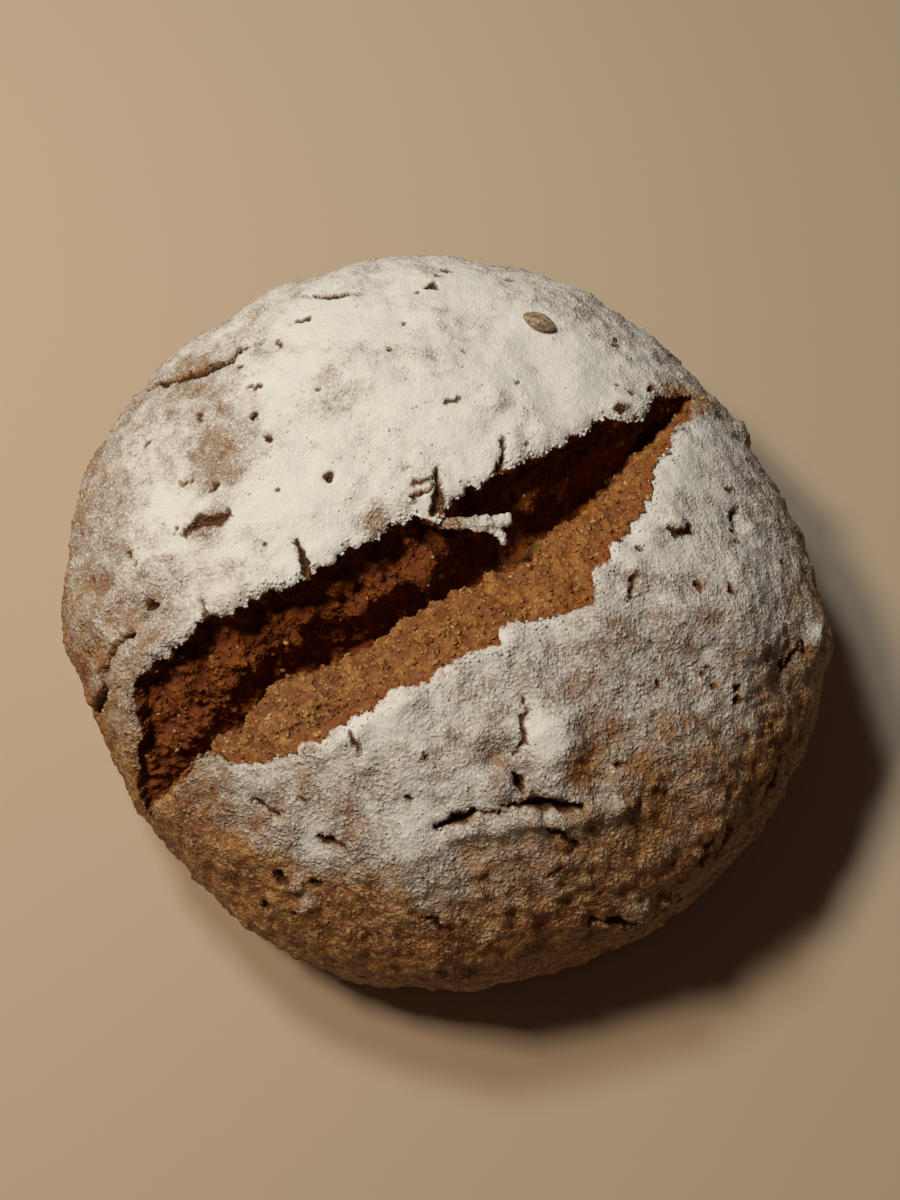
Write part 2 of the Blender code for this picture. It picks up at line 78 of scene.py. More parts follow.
# The two lips of the burst as (along, across). They share their first and last points.
HIGH_LIP = (
    (-120, -1), (-110, 7), (-104, 11), (-97, 14), (-93, 19), (-87, 25), (-82, 23), (-74, 21),
    (-64, 20.5), (-54, 15), (-46, 12), (-39, 9), (-30, 8), (-19, 5), (-10, 4), (-4, 1),
    (-2.5, -0.6), (-1, -1.6), (1, -0.8), (3, -1.7), (4.5, -0.3), (9.5, 0.2), (12, -1.7),
    (15, -2.6), (23, -2.6), (33, -4.4), (42, -5.9), (50, -5), (55, -7.2), (59, -9.6),
    (63, -11.4), (66, -10.8), (68, -9), (72, -7.4), (78, -7), (82, -8.5), (88, -11))
LOW_LIP = (
    (-120, -1), (-108, -1), (-95, -4.5), (-89, -3), (-82, -6.5), (-78, -15), (-68, -20.5),
    (-57, -24), (-50, -26), (-37, -26.5), (-32, -30.5), (-26, -29), (-12, -34.5), (-6, -31),
    (2, -36.5), (9, -39.5), (14, -39), (17, -35), (31, -32), (40, -30.5), (49, -28),
    (52, -24), (60, -23), (70, -18.5), (80, -16), (88, -11))

# Stations along the burst: the edge of the crumb that slopes down from the low lip, the bottom of
# the valley and a ledge on the far wall, each with its share of the way from the low lip to the
# high one and its depth under the crust.
BURST_STATIONS = (
    # along, edge share, edge depth, valley share, valley depth, ledge share, ledge depth
    (-120, 0.30, 0.0, 0.45, 0.0, 0.60, 0.0),
    (-105, 0.14, 5.0, 0.30, 13.0, 0.50, 8.5),
    (-88, 0.13, 5.5, 0.29, 20.0, 0.45, 10.5),
    (-77, 0.26, 5.5, 0.36, 22.0, 0.49, 11.0),
    (-66, 0.44, 6.0, 0.55, 23.0, 0.68, 11.0),
    (-56, 0.50, 6.5, 0.60, 23.0, 0.71, 11.0),
    (-46, 0.43, 7.0, 0.58, 24.0, 0.73, 11.0),
    (-35, 0.42, 7.0, 0.57, 24.0, 0.72, 11.0),
    (-22, 0.47, 7.0, 0.57, 24.0, 0.68, 11.0),
    (-8, 0.51, 7.0, 0.59, 24.0, 0.69, 11.5),
    (4, 0.45, 7.5, 0.63, 24.0, 0.80, 13.0),
    (17, 0.46, 7.5, 0.64, 23.0, 0.82, 13.0),
    (31, 0.40, 7.0, 0.60, 22.0, 0.80, 12.0),
    (48, 0.28, 6.0, 0.56, 20.0, 0.80, 11.0),
    (63, 0.30, 4.5, 0.64, 15.0, 0.84, 8.0),
    (72, 0.30, 4.0, 0.68, 14.0, 0.86, 7.0),
    (79, 0.34, 3.0, 0.66, 9.0, 0.82, 5.0),
    (88, 0.30, 0.0, 0.50, 0.0, 0.70, 0.0))
BURST_DEPTH = 24.0
LEDGE_RECESS = 0.05       # share by which the wall recedes under the ledge
LEDGE_THICKNESS = 3.5
EDGE_RAGGEDNESS = 0.07    # share by which the crumb's edges wander, at two sizes
EDGE_RAG_SIZES = (7.0, 2.6)
CRUST_STEP = 1.8          # the broken crust's own thickness
LIP_UNDERCUT = 3.0        # how far the far wall reaches back under the high lip, and how deep
LIP_UNDERCUT_DEPTH = 6.5
VALLEY_HALF_WIDTH = 2.0
LIP_EVENING = 9.0         # the walls follow the lips' teeth evened out over this way
LIP_ROUNDING = 0.6        # how far the crust turns down at its broken edge
LIP_ROUNDING_REACH = 1.0

# Bumps as (along, across, radius, height): covered grains, blisters, swellings and dents.
BUMPS = (
    (-16.6, -59.2, 7.4, 3.6), (-33.4, -57.9, 3.5, 1.9), (44.3, -38.2, 3.0, 1.7),
    (-41.5, 40.5, 5.6, 1.9), (64.9, -51.0, 2.2, 1.3), (-20.7, -77.2, 4.0, 0.9),
    (-86.5, -44.4, 2.6, 1.9), (-25.0, -108.0, 4.5, 1.6),
    (-8.0, -76.5, 4.0, 1.2), (-68.0, -43.6, 2.8, 1.2), (9.0, -43.0, 7.0, 1.3),
    (-9.0, -38.0, 6.0, 1.1), (-52.0, -30.0, 7.0, 1.2), (-40.0, -33.0, 6.0, 1.0),
    (-46.0, -42.0, 7.0, 0.9), (24.0, -36.5, 5.0, 1.0), (-92, 60, 13.0, 2.0),
    (69, -84, 9.0, 2.2), (100, -27, 5.0, 1.8), (-78, -16, 8.0, 1.2), (30, 12, 13.0, 1.2),
    (-27, 20, 10.0, 1.2), (-48, 24, 8.0, 1.2), (52, 6, 9.0, 1.2), (64, -6, 5.0, 1.1),
    (8, -96, 12.0, 1.6), (-62, -60, 12.0, 1.4), (10, -78, 12.0, 1.2), (38, -64, 10.0, 1.3),
    (52, -58, 8.0, 1.1), (24, -56, 7.0, 0.9), (21.0, -39.6, 3.0, -1.1),
    (-29, -52.2, 3.6, -1.4), (-25, -53.6, 2.6, -1.0), (34.5, -60, 3.0, -1.0),
    (36.5, -50.5, 3.0, -0.8), (-45, -63.5, 5.0, -0.8), (-24, -80, 4.0, -1.0),
    (-60, 24, 4.0, -0.8), (62.5, -44, 3.5, -0.8), (46, -83, 6.0, -1.0), (-14, 96, 10.0, 0.9),
    (34, 99, 13.0, -1.4), (11, 104, 8.0, -1.6), (-126, -18, 14.0, -1.6), (-125, 2, 10.0, -1.0))
# Cracks as (depth, points along the crack), each point as (along, across, width).
CRACKS = (
    (3.6, ((-50.5, -55, 0.4), (-47.5, -57, 1.6), (-43.6, -58.8, 3.0), (-40.4, -60.2, 0.8))),
    (1.2, ((-41, -60, 0.8), (-35, -62.3, 0.6), (-31, -64.6, 1.2))),
    (4.0, ((-31, -64.6, 0.8), (-28.3, -67.4, 4.2), (-25.5, -69.2, 2.0), (-23, -71.6, 3.4),
           (-20.5, -73.6, 0.8))),
    (1.4, ((-14.5, -46, 0.4), (-17, -49, 0.8), (-19.5, -50.8, 1.4), (-21.8, -53.8, 1.4),
           (-25.6, -55.2, 0.5))),
    (3.0, ((-28.6, -58.8, 0.6), (-28.8, -60.6, 2.8), (-30, -62.6, 0.6))),
    (1.4, ((-29.5, -71.5, 0.6), (-28.5, -74, 1.6), (-27.5, -78, 1.2), (-26, -81.5, 0.6))),
    (3.6, ((-26, 96, 1.6), (-22.3, 88.3, 3.6), (-19, 84, 3.2), (-15.4, 80.4, 3.2),
           (-12, 78.4, 4.4), (-9.7, 77, 3.6), (-6, 76.1, 1.6), (-2.8, 75.2, 1.3),
           (2, 73, 0.5))),
    (2.6, ((20.5, 79, 0.6), (22.6, 76.3, 1.8), (25.5, 73, 2.6), (28.3, 69.5, 1.4),
           (30, 68, 0.5))),
    (3.0, ((-31.5, 17.5, 0.5), (-32.3, 15, 1.7), (-34, 12, 2.4), (-36.4, 9.2, 3.0))),
    (2.6, ((-59.5, 25, 0.5), (-60.5, 22, 1.8), (-62, 19.5, 2.6))),
    (3.0, ((7, 9, 0.5), (4.3, 5.8, 1.5), (2.4, 2.9, 2.4), (-0.5, 0.6, 3.2))),
    (1.8, ((-3, 6.5, 0.8), (0.1, 5.9, 2.4), (2, 5.4, 1.4))),
    (2.6, ((26, 5, 0.5), (22.5, 1.5, 1.6), (19.5, -1.6, 2.6))),
    (2.4, ((67, -43.2, 0.5), (63.2, -45.3, 2.0), (60.5, -47.4, 0.8))),
    (1.4, ((24.5, -40.5, 0.5), (21.6, -42.6, 1.4), (18.5, -45.5, 0.5))),
    (1.4, ((40.5, -37.8, 0.6), (41.6, -40.6, 1.6), (45.3, -41.2, 1.6), (47.4, -39.0, 0.6))),
    (1.2, ((-48.2, 40.6, 0.8), (-44.4, 38.2, 3.4), (-40.6, 35.8, 3.6), (-37, 35.2, 1.2))),
    (4.2, ((-36, -101, 1.0), (-30, -105, 3.0), (-24.4, -111, 4.0), (-18, -116, 3.5),
           (-12, -120, 1.5))),
    (2.6, ((8, -101, 0.8), (5, -104.9, 2.8), (2.5, -109.5, 1.2))),
    (2.6, ((2, -101.5, 0.8), (-0.7, -105.3, 2.8), (-3, -110, 1.0))),
    (2.2, ((32, -101, 0.8), (27, -105, 2.6), (20, -108, 1.0))),
    (1.8, ((-80.5, -22, 0.5), (-79.6, -24.5, 1.2), (-78.8, -27, 2.0), (-78, -28.8, 0.6))),
    (2.2, ((-72.2, -39.5, 0.6), (-71.5, -42, 2.2), (-70.3, -45, 2.2), (-69.5, -46.8, 0.6))),
    (1.6, ((-66, -71, 0.6), (-64.5, -73.5, 2.2), (-64, -77, 0.8))),
    (4.6, ((-79, 34, 0.6), (-80.5, 35.8, 2.0), (-83.2, 36.8, 2.4), (-88, 37.4, 2.0),
           (-94, 36.6, 2.8), (-97, 33.6, 3.2), (-102, 34, 5.0), (-107, 37, 6.0),
           (-113, 42, 4.0))),
    (1.2, ((55, -79, 0.5), (50, -81.5, 1.3), (45, -83, 0.5))))
# Ridges of crust along the cracks and flakes: height, and points as (along, across, width).
RIDGES = (
    (1.6, ((-50, -60, 2.5), (-42, -63.5, 5.0), (-36, -66, 3.5), (-31, -69.5, 2.5))),
    (1.5, ((-32, -70, 2.5), (-24, -75, 4.0), (-18, -78.2, 3.6), (-10, -81.5, 1.6))),
    (1.5, ((-95, -47.5, 0.8), (-90, -50, 1.6), (-85.3, -52.4, 0.8))),
    (1.4, ((-33, -103.5, 1.2), (-26, -108, 3.0), (-18, -112, 2.6), (-12, -116, 1.0))),
    (1.3, ((64, -79, 1.2), (60, -81, 2.6), (56.3, -83.4, 2.0))),
    (1.0, ((-60, -27.5, 1.0), (-50, -28.5, 3.0), (-40, -29.5, 3.0), (-33, -33, 1.5))),
    (0.8, ((-70, 33, 1.5), (-74, 36.5, 3.0), (-80, 38.8, 2.0))),
    (1.6, ((57, -2.5, 1.0), (61.5, -6, 2.2), (65, -9.5, 1.6))))
# Pits as (along, across, radius, depth).
PITS = (
    (46.5, 57.6, 1.9, 2.6), (52.1, 60.9, 1.3, 1.8), (57.5, 62.5, 1.3, 1.6), (68.5, 49.5, 1.2, 1.4),
    (-15, 52.5, 1.6, 2.4), (-17, 43, 1.5, 2.2), (-13.5, 24, 1.8, 2.8), (-35, 43.5, 1.2, 1.6),
    (-39, 71.5, 1.3, 1.6), (-69.9, 35.4, 2.4, 4.0), (-62.5, 50, 1.2, 1.6),
    (59.5, -48.2, 1.1, 2.2), (29.8, -37.4, 1.1, 1.6), (28.6, -32.8, 1.0, 2.0),
    (36.3, -52.1, 1.4, 2.0), (42.6, -57.7, 1.1, 1.4), (29.7, -77.6, 1.1, 1.6),
    (27.7, -79.8, 1.3, 1.9), (24.2, -73.9, 1.1, 1.3), (47.0, -80.7, 1.4, 1.9),
    (55.2, -80.6, 1.3, 2.0), (-88.8, -40.6, 2.2, 3.4), (-82.5, -47.7, 1.4, 2.0),
    (-99.2, -43.5, 1.6, 2.0), (-50, -48, 0.9, 1.0), (-8, -72, 1.2, 1.2), (12, -64, 1.0, 1.0),
    (67, -2.5, 1.2, 1.6), (59.5, -5.8, 1.7, 2.2), (74, -4.4, 1.5, 2.0), (81, -6.2, 1.3, 1.8))

CRUST_LUMP_SIZE = 34.0    # the crust's broad slow lumps
CRUST_LUMP_HEIGHT = 1.9
CRAG_SIZE = 9.0           # the crags of crumb on the burst's walls
CRAG_HEIGHT = 2.3
VALLEY_CALM = 0.75        # share of the crags' height that is missing in the bottom of the burst
VALLEY_BEGINS = (12.0, 18.0)    # depths between which the crags calm down

# ---------------------------------------------------------------- finer relief

# Layers of crust relief and of crumb relief, as (size, height).
CRUST_LAYERS = ((9.0, 0.55), (4.2, 0.75), (2.2, 0.5))
FLOURED_ROUGHNESS = 0.28  # share of that relief under the thickest flour
BARE_ROUGHNESS = 1.23     # and on bare crust
GRAIN_SIZE = 2.5          # rounded grains in the crust: their size and height
GRAIN_HEIGHT = 0.25
CRUMB_LAYERS = ((4.6, 1.5), (2.2, 1.1))
NEAR_CRUMB_SHARE = 0.6    # share of that relief on the near wall and on the far one
FAR_CRUMB_SHARE = 0.9
PEBBLE_SIZE = 1.9
PEBBLE_HEIGHT = 1.3
PORE_SIZE = 3.4
PORE_DEPTH = 0.5
CRUMB_FADE = 1.5          # the crumb's finer relief sets in over this way from a lip
FAR_WALL = (0.30, 0.50)   # shares of the way to the high lip between which the far wall begins
WARM_CRUMB = (-75.0, 10.0)    # places along the burst between which the crumb turns warmer
LIP_LIFT = 1.0            # how far the crust lifts behind its broken edge, in uneven stretches
LIP_LIFT_REACH = 4.0
LIP_LIFT_SIZE = 11.0
CROOKEDNESS = ((4.5, 1.5), (1.6, 0.7))    # how cracks and pits are bent, as (size, shift)
LIP_TEARS = ((5.0, 2.0), (2.6, 1.1), (1.2, 1.1))    # how the lips are torn, as (size, depth)
TEAR_ROOM = 8.0           # the tears fade where the lips are closer together than this
FEATURE_REACH = 125.0     # way from the crown within which cracks and pits lie
HAIR_CRACKS = 30          # how many are strewn by chance, each of them a few steps long
HAIR_CRACK_WIDTHS = (0.8, 1.6)
HAIR_CRACK_STEPS = (0.8, 2.4)
HAIR_CRACK_TURN = 0.7     # how far it may turn at each step, in radians
SMALL_PITS = 46
SMALL_PIT_RADII = (0.5, 1.0)
TEAR_STEEPNESS = 1.5      # how steep the sides of cracks and pits are
SETTLING = 15.0           # the crust's relief sets in over this way from the foot

# Flour was sifted from over this place on the map. Its reach is (way from there, cover).
FLOUR_MIDDLE = (12.0, 18.0)
FLOUR_REACH = ((50, 0.95), (80, 0.76), (100, 0.54), (115, 0.30), (130, 0.08))
# Where it lies thicker or thinner than that, as (along, across, radius, change of cover).
FLOUR_DRIFTS = (
    (8, -50, 24, -0.22), (72, -45, 20, 0.16), (-50, -27, 10, 0.14), (-41, -36, 12, 0.1),
    (-73, -22, 6, 0.2), (-77, -42, 7, 0.42), (-56, -57, 9, 0.22), (-17.5, -57, 6, 0.26),
    (-34, -58, 4, 0.2), (-40, -65, 6, 0.26), (-16, -78, 8, 0.08), (-25, -108, 6, 0.26),
    (61, -80, 3.5, 0.4), (-89, -49.5, 4, 0.4), (-87, -44.6, 3, 0.3), (-95, -42, 10, -0.34),
    (-88, -62, 12, -0.26), (-26, 54, 12, -0.34), (-32, 45, 6, -0.2), (5, 44, 9, -0.14),
    (-72, 32, 11, -0.2), (-60, 80, 16, -0.08), (-17, 82, 12, -0.22), (-14, 8, 4, -0.4),
    (-42.5, 37, 4, -0.45), (82, -9, 6, -0.6), (91, -13, 6, -0.3), (-8, -64, 6, -0.22),
    (-16, -67, 5, -0.34), (-28, -53, 4, -0.24), (-44, -64, 6, -0.14), (-27, -79, 6, -0.24),
    (34, -60, 4, -0.14), (24, -72, 13, 0.06), (34, -99, 12, -0.24), (60, -60, 12, 0.1),
    (-58, -76, 12, 0.08), (-6, -83, 13, -0.16), (-66, -53, 8, 0.1), (-52, -48, 9, 0.1))
FLOUR_UNEVENNESS = ((14.0, 0.15), (5.0, 0.14))    # its soft patches, as (size, change of cover)
STEEP_CRUST = (-0.35, 0.25)    # how far up the crust must face to hold any flour, and all of it
TEAR_LOSS = 0.85          # share of its flour that a tear has lost

# ---------------------------------------------------------------- small pieces

# The forked strip of crust: its prongs as (along, across, height over the dome, width).
TONGUE_THICKNESS = 1.9
TONGUE_SKIN = 0.32        # the size of the squares in its skin
TONGUE_LAYERS = ((2.4, 0.7), (1.0, 0.45))    # its relief, as (size, height)
TONGUE_PRONGS = (
    ((-2.2, -1.5, -3.0, 2.6), (0.4, -4.2, -2.0, 3.0), (2.8, -6.6, -1.5, 3.8),
     (6.0, -9.4, -1.0, 4.4), (9.0, -11.2, -0.8, 3.8), (11.2, -12.5, -1.0, 2.8)),
    ((5.6, -10.4, -1.2, 2.6), (7.3, -13.4, -1.8, 2.4), (6.7, -15.4, -3.2, 1.8)))
# The whole grain: its two ends on the map and its shape.
GRAIN_ENDS = ((57.0, 32.5), (61.0, 24.0))
GRAIN_WIDTH = 5.4
GRAIN_THICKNESS = 3.6
GRAIN_LIFT = 0.3          # its middle lies this share of its thickness over the crust
GRAIN_TAPER = 0.22        # share by which its ends are slimmer
GRAIN_CREASE = 0.16       # the crease's depth and width, as a share of the half thickness
GRAIN_WRINKLES = 0.03
# What is strewn on the loaf: how many, their least and largest radius, and how tall for it.
FLOUR_CLUMPS = (3500, (0.22, 0.55), 0.5)
LIP_CRUMBS = (900, (0.22, 0.62), 0.8)
CRUMB_BITS = (2400, (0.3, 0.8), 0.9)
BRAN_FLECKS = (150, (0.4, 1.0), 0.5)
CLUMP_COVER = (0.30, 0.95)    # flour clumps lie where the cover is between these
LIP_CRUMB_REACH = 2.2     # how far from a lip its crumbs lie
LUMP_UNEVENNESS = 0.35    # share by which a strewn piece swells and shrinks

# Mesh fineness: the usual length of an edge.
CRUST_EDGE = 1.02
SIDE_EDGE = 1.7
CRACK_EDGE = 0.56
CRUMB_EDGE = 0.66
LIP_EDGE = 0.8 * CRUMB_EDGE
BASE_EDGE = 7.0
SIDE_BEGINS = 105.0       # way from the crown at which the crust's mesh starts to get coarser
ROW_STEP = 0.87           # rows of even triangles are this share of an edge apart
CLEARANCE = 0.62          # share of an edge by which free corners keep clear of fixed ones

# ---------------------------------------------------------------- camera and light

CAMERA_TARGET = (2.1, -1.9, 35.0)
CAMERA_DISTANCE = 440.8
CAMERA_ELEVATION = 66.0
CAMERA_LENS = 50.0
CAMERA_SENSOR = 36.0
# The lamps as (name, direction, distance in metres, side in metres, power in watts, colour), and
# what they look at, in metres.
LAMPS = (
    ("cool_lamp", (-0.37, 0.36, 1.0), 0.74, 0.12, 2.30, (0.84, 0.88, 0.86)),
    ("warm_lamp", (-0.58, 0.10, 1.0), 0.95, 0.16, 5.30, (1.0, 0.77, 0.56)))
LAMP_AIM = (0.0, 0.0, 0.03)
ROOM_COLOUR = (1.0, 0.60, 0.48)
ROOM_LIGHT = 0.044
FLOOR_COLOUR = (0.52, 0.435, 0.325)
FLOOR_ROUGHNESS = 0.9
FLOOR_REACH = 3.0         # from its middle, in metres

# ---------------------------------------------------------------- colours

SHINE = 0.2               # crust and near crumb hardly shine, and the far wall of the burst least
FAR_SHINE = 0.05
FLOUR_CONTRAST = 2.6      # how strongly flour gathers in patches
FLOUR_SOFTNESS = 0.40     # how soft the edges of the patches are
BARE_CRUST = (0.345, 0.166, 0.054)
DARK_CRUST = (0.18, 0.065, 0.028)
PALE_CRUST = (0.55, 0.37, 0.150)
DUSTED_CRUST = (0.29, 0.185, 0.115)
# Near black: painted shade in cracks and pits, over their bare crust.
CRACK_AND_PIT_SHADE = (0.080, 0.034, 0.015)
FLOUR = (0.735, 0.775, 0.765)
THIN_FLOUR = (0.585, 0.44, 0.245)
FLOUR_SHADE = (0.50, 0.475, 0.43)
CRUMB = (0.375, 0.152, 0.032)
CRUMB_TAN = (0.315, 0.152, 0.047)
# The pale crumb is also painted on crests and grain tops as highlight.
CRUMB_PALE_AND_HIGHLIGHT = (0.53, 0.315, 0.110)
CRUMB_RED = (0.25, 0.072, 0.016)
# The dark crumb is also painted in hollows and between grains as shade.
CRUMB_DARK_AND_SHADE = (0.14, 0.042, 0.020)
# Darker crumb deep in the burst: moister crumb, and painted shade.
DEEP_CRUMB_AND_SHADE = (0.20, 0.060, 0.014)
# The far wall's crumb, painted darker as shade, for that wall faces away from the lamps.
SHADED_FAR_CRUMB = (0.190, 0.056, 0.013)
SHADED_FAR_PALE = (0.300, 0.112, 0.022)
BRAN = (0.42, 0.22, 0.075)
BRAN_PALE = (0.62, 0.42, 0.19)
GRAIN_SKIN = (0.16, 0.10, 0.045)
GRAIN_PALE = (0.38, 0.29, 0.16)


def meridian(steps=600):
    """The dome's section: way over the crust from the crown, share of the belt's radius, height."""
    turn = np.linspace(0.0, math.pi / 2, steps)
    crown_reach = np.sin(turn) ** (2 / SHOULDER_FULLNESS)
    crown_height = BELT_HEIGHT + (HEIGHT - BELT_HEIGHT) * np.cos(turn) ** (2 / CROWN_FULLNESS)
    foot_reach = 1 - FOOT_TUCK / BELT_RADIUS * (1 - np.cos(turn[1:]))
    foot_height = BELT_HEIGHT * (1 - np.sin(turn[1:]))
    reach = np.concatenate((crown_reach, foot_reach))
    height = np.concatenate((crown_height, foot_height))
    steps_long = np.hypot(np.diff(reach * BELT_RADIUS), np.diff(height))
    return np.concatenate(([0.0], np.cumsum(steps_long))), reach, height


WAY, REACH, RISE = meridian()
FOOT_WAY = WAY[-1]


def belt_radius(bearing):
    """The belt's radius at a bearing from +X."""
    radius = np.full_like(bearing, BELT_RADIUS)
    for count, size, peak in BELT_WAVES:
        radius += size * np.cos(count * (bearing - math.radians(peak)))
    return radius


def dome(along, across):
    """The smooth dome's points for places on the map of the crust."""
    way = np.hypot(along, across)
    bearing = np.arctan2(across, along) + BURST_BEARING
    radius = belt_radius(bearing) * np.interp(way, WAY, REACH)
    height = np.interp(way, WAY, RISE)
    return np.stack((radius * np.cos(bearing), radius * np.sin(bearing), height), axis=-1)


def dome_outward(along, across, reach=1.0):
    """The way straight out of the dome, from points a little apart on it."""
    ahead = dome(along + reach, across) - dome(along - reach, across)
    aside = dome(along, across + reach) - dome(along, across - reach)
    out = np.cross(ahead, aside)
    return out / np.linalg.norm(out, axis=-1, keepdims=True)


def soft_noise(points, size, octaves=1):
    """Smooth noise from about -1 to 1 at each point, its lumps about a size across."""
    scaled = (np.asarray(points) / size).tolist()
    if octaves == 1:
        return np.array([noise.noise(point) for point in scaled])
    return np.array([noise.fractal(point, 1.0, 2.0, octaves) for point in scaled])


def cell_noise(points, size):
    """The distance from each point to its nearest cell's middle, about 0 to 1."""
    scaled = (np.asarray(points) / size).tolist()
    return np.array([noise.voronoi(point)[0][0] for point in scaled])


def rise(low, high, value):
    """0 below low, 1 above high, and smooth between."""
    share = np.clip((value - low) / (high - low), 0.0, 1.0)
    return share * share * (3 - 2 * share)


# ---------------------------------------------------------------- lips and burst

def resample(line, spacing):
    """Points evenly spaced along a line, with its two ends kept."""
    line = np.array(line, dtype=float)
    way = np.concatenate(([0.0], np.cumsum(np.linalg.norm(np.diff(line, axis=0), axis=1))))
    count = max(2, round(way[-1] / spacing) + 1)
    at = np.linspace(0.0, way[-1], count)
    return np.stack((np.interp(at, way, line[:, 0]), np.interp(at, way, line[:, 1])), axis=-1)


def ragged(line, other):
    """A lip with tears across it, large and fine, that fade where the other lip comes close."""
    gap = np.abs(line[:, 1] - np.interp(line[:, 0], other[:, 0], other[:, 1]))
    room = np.clip(gap / TEAR_ROOM, 0.0, 1.0)
    flat = np.pad(line, ((0, 0), (0, 1)))
    torn = line.copy()
    for size, depth in LIP_TEARS:
        torn[:, 1] += room * depth * soft_noise(flat, size)
    return torn


def soften(line):
    """One round of corner cutting on lines of points stored along the second last axis."""
    early = 0.75 * line[..., :-1, :] + 0.25 * line[..., 1:, :]
    late = 0.25 * line[..., :-1, :] + 0.75 * line[..., 1:, :]
    pairs = np.stack((early, late), axis=-2)
    middle = pairs.reshape(*line.shape[:-2], -1, line.shape[-1])
    return np.concatenate((line[..., :1, :], middle, line[..., -1:, :]), axis=-2)


def slow_line(along, lip):
    """A lip's place across the burst with its teeth and notches evened out."""
    shifts = (-LIP_EVENING, 0.0, LIP_EVENING)
    return sum(np.interp(along + shift, lip[:, 0], lip[:, 1]) for shift in shifts) / len(shifts)


def burst_sections(along, low_lip, high_lip):
    """The burst's section at each place along it, as lines of (across, depth) from lip to lip."""
    stations = np.array(BURST_STATIONS, dtype=float)
    edge_share, edge_depth, valley_share, valley_depth, ledge_share, ledge_depth = (
        np.interp(along, stations[:, 0], stations[:, column]) for column in range(1, 7))
    low = np.interp(along, low_lip[:, 0], low_lip[:, 1])
    high = np.interp(along, high_lip[:, 0], high_lip[:, 1])
    open_share = valley_depth / np.max(stations[:, 4])
    low_wall = low + open_share * (slow_line(along, low_lip) - low)
    high_wall = high + open_share * (slow_line(along, high_lip) - high)
    width = high_wall - low_wall
    row = np.stack((along, 0 * along, 0 * along), axis=-1)
    for size in EDGE_RAG_SIZES:
        rag = EDGE_RAGGEDNESS * open_share * size / EDGE_RAG_SIZES[0]
        edge_share = edge_share + rag * soft_noise(row, size)
        ledge_share = ledge_share + rag * soft_noise(row + (0, 50, 0), size)
    valley = low_wall + valley_share * width
    half = VALLEY_HALF_WIDTH * open_share
    step = CRUST_STEP * open_share
    corners = (
        (low, 0 * low),
        (low + 0.4 * open_share, step),
        (low_wall + 0.5 * edge_share * width, 0.35 * edge_depth + 0.8 * step),
        (low_wall + edge_share * width, edge_depth),
        (valley - half, valley_depth),
        (valley + half, valley_depth),
        (low_wall + (ledge_share + LEDGE_RECESS * open_share) * width,
         ledge_depth + LEDGE_THICKNESS * open_share),
        (low_wall + ledge_share * width, ledge_depth),
        (high_wall + LIP_UNDERCUT * open_share, LIP_UNDERCUT_DEPTH * open_share),
        (high + 0.3 * open_share, step),
        (high, 0 * high))
    lines = np.stack([np.stack(corner, axis=-1) for corner in corners], axis=-2)
    return soften(soften(lines))


def section_lengths(lines):
    """The way along each section, from its low lip to each of its points."""
    steps = np.linalg.norm(np.diff(lines, axis=-2), axis=-1)
    start = np.zeros((*steps.shape[:-1], 1))
    return np.concatenate((start, np.cumsum(steps, axis=-1)), axis=-1)


def burst_points(along, way, low_lip, high_lip):
    """Points on the burst's walls, and their depth, by the place along and the way across."""
    lines = burst_sections(along, low_lip, high_lip)
    lengths = section_lengths(lines)
    across = np.array([np.interp(w, l, p[:, 0]) for w, l, p in zip(way, lengths, lines)])
    depth = np.array([np.interp(w, l, p[:, 1]) for w, l, p in zip(way, lengths, lines)])
    middle = 0.5 * (np.interp(along, low_lip[:, 0], low_lip[:, 1])
                    + np.interp(along, high_lip[:, 0], high_lip[:, 1]))
    return dome(along, across) - depth[:, None] * dome_outward(along, middle), depth


# ---------------------------------------------------------------- crust relief

def on_map(along, across, level):
    """Points for noise over the map of the crust. Each level gives noise of its own."""
    return np.stack((along, across, np.full(along.shape, float(level))), axis=-1)


def reach_of_line(along, across, line):
    """How far each place is from a line, in half widths of the line there."""
    nearest = np.full(along.shape, np.inf)
    for (a0, b0, w0), (a1, b1, w1) in zip(line[:-1], line[1:]):
        run = np.array((a1 - a0, b1 - b0))
        share = ((along - a0) * run[0] + (across - b0) * run[1]) / run.dot(run)
        share = np.clip(share, 0.0, 1.0)
        gap = np.hypot(along - a0 - share * run[0], across - b0 - share * run[1])
        nearest = np.minimum(nearest, gap / (0.5 * (w0 + share * (w1 - w0))))
    return nearest


def chance_place(draw):
    """A place anywhere on the crust."""
    way = FEATURE_REACH * math.sqrt(draw.random())
    turn = math.tau * draw.random()
    return way * math.cos(turn), way * math.sin(turn)


def chance_cracks(draw):
    """Hairline cracks at seeded places, each a short bent line."""
    cracks = []
    for _ in range(HAIR_CRACKS):
        along, across = chance_place(draw)
        heading = math.tau * draw.random()
        width = draw.uniform(*HAIR_CRACK_WIDTHS)
        line = [(along, across, 0.5)]
        for share in (1.0, 0.8, 0.4):
            heading += draw.uniform(-HAIR_CRACK_TURN, HAIR_CRACK_TURN)
            step = draw.uniform(*HAIR_CRACK_STEPS)
            along += step * math.cos(heading)
            across += step * math.sin(heading)
            line.append((along, across, share * width))
        cracks.append((0.5 * width, tuple(line)))
    return tuple(cracks)


def chance_pits(draw):
    """Small pits at seeded places."""
    pits = []
    for _ in range(SMALL_PITS):
        along, across = chance_place(draw)
        radius = draw.uniform(*SMALL_PIT_RADII)
        pits.append((along, across, radius, 1.1 * radius))
    return tuple(pits)


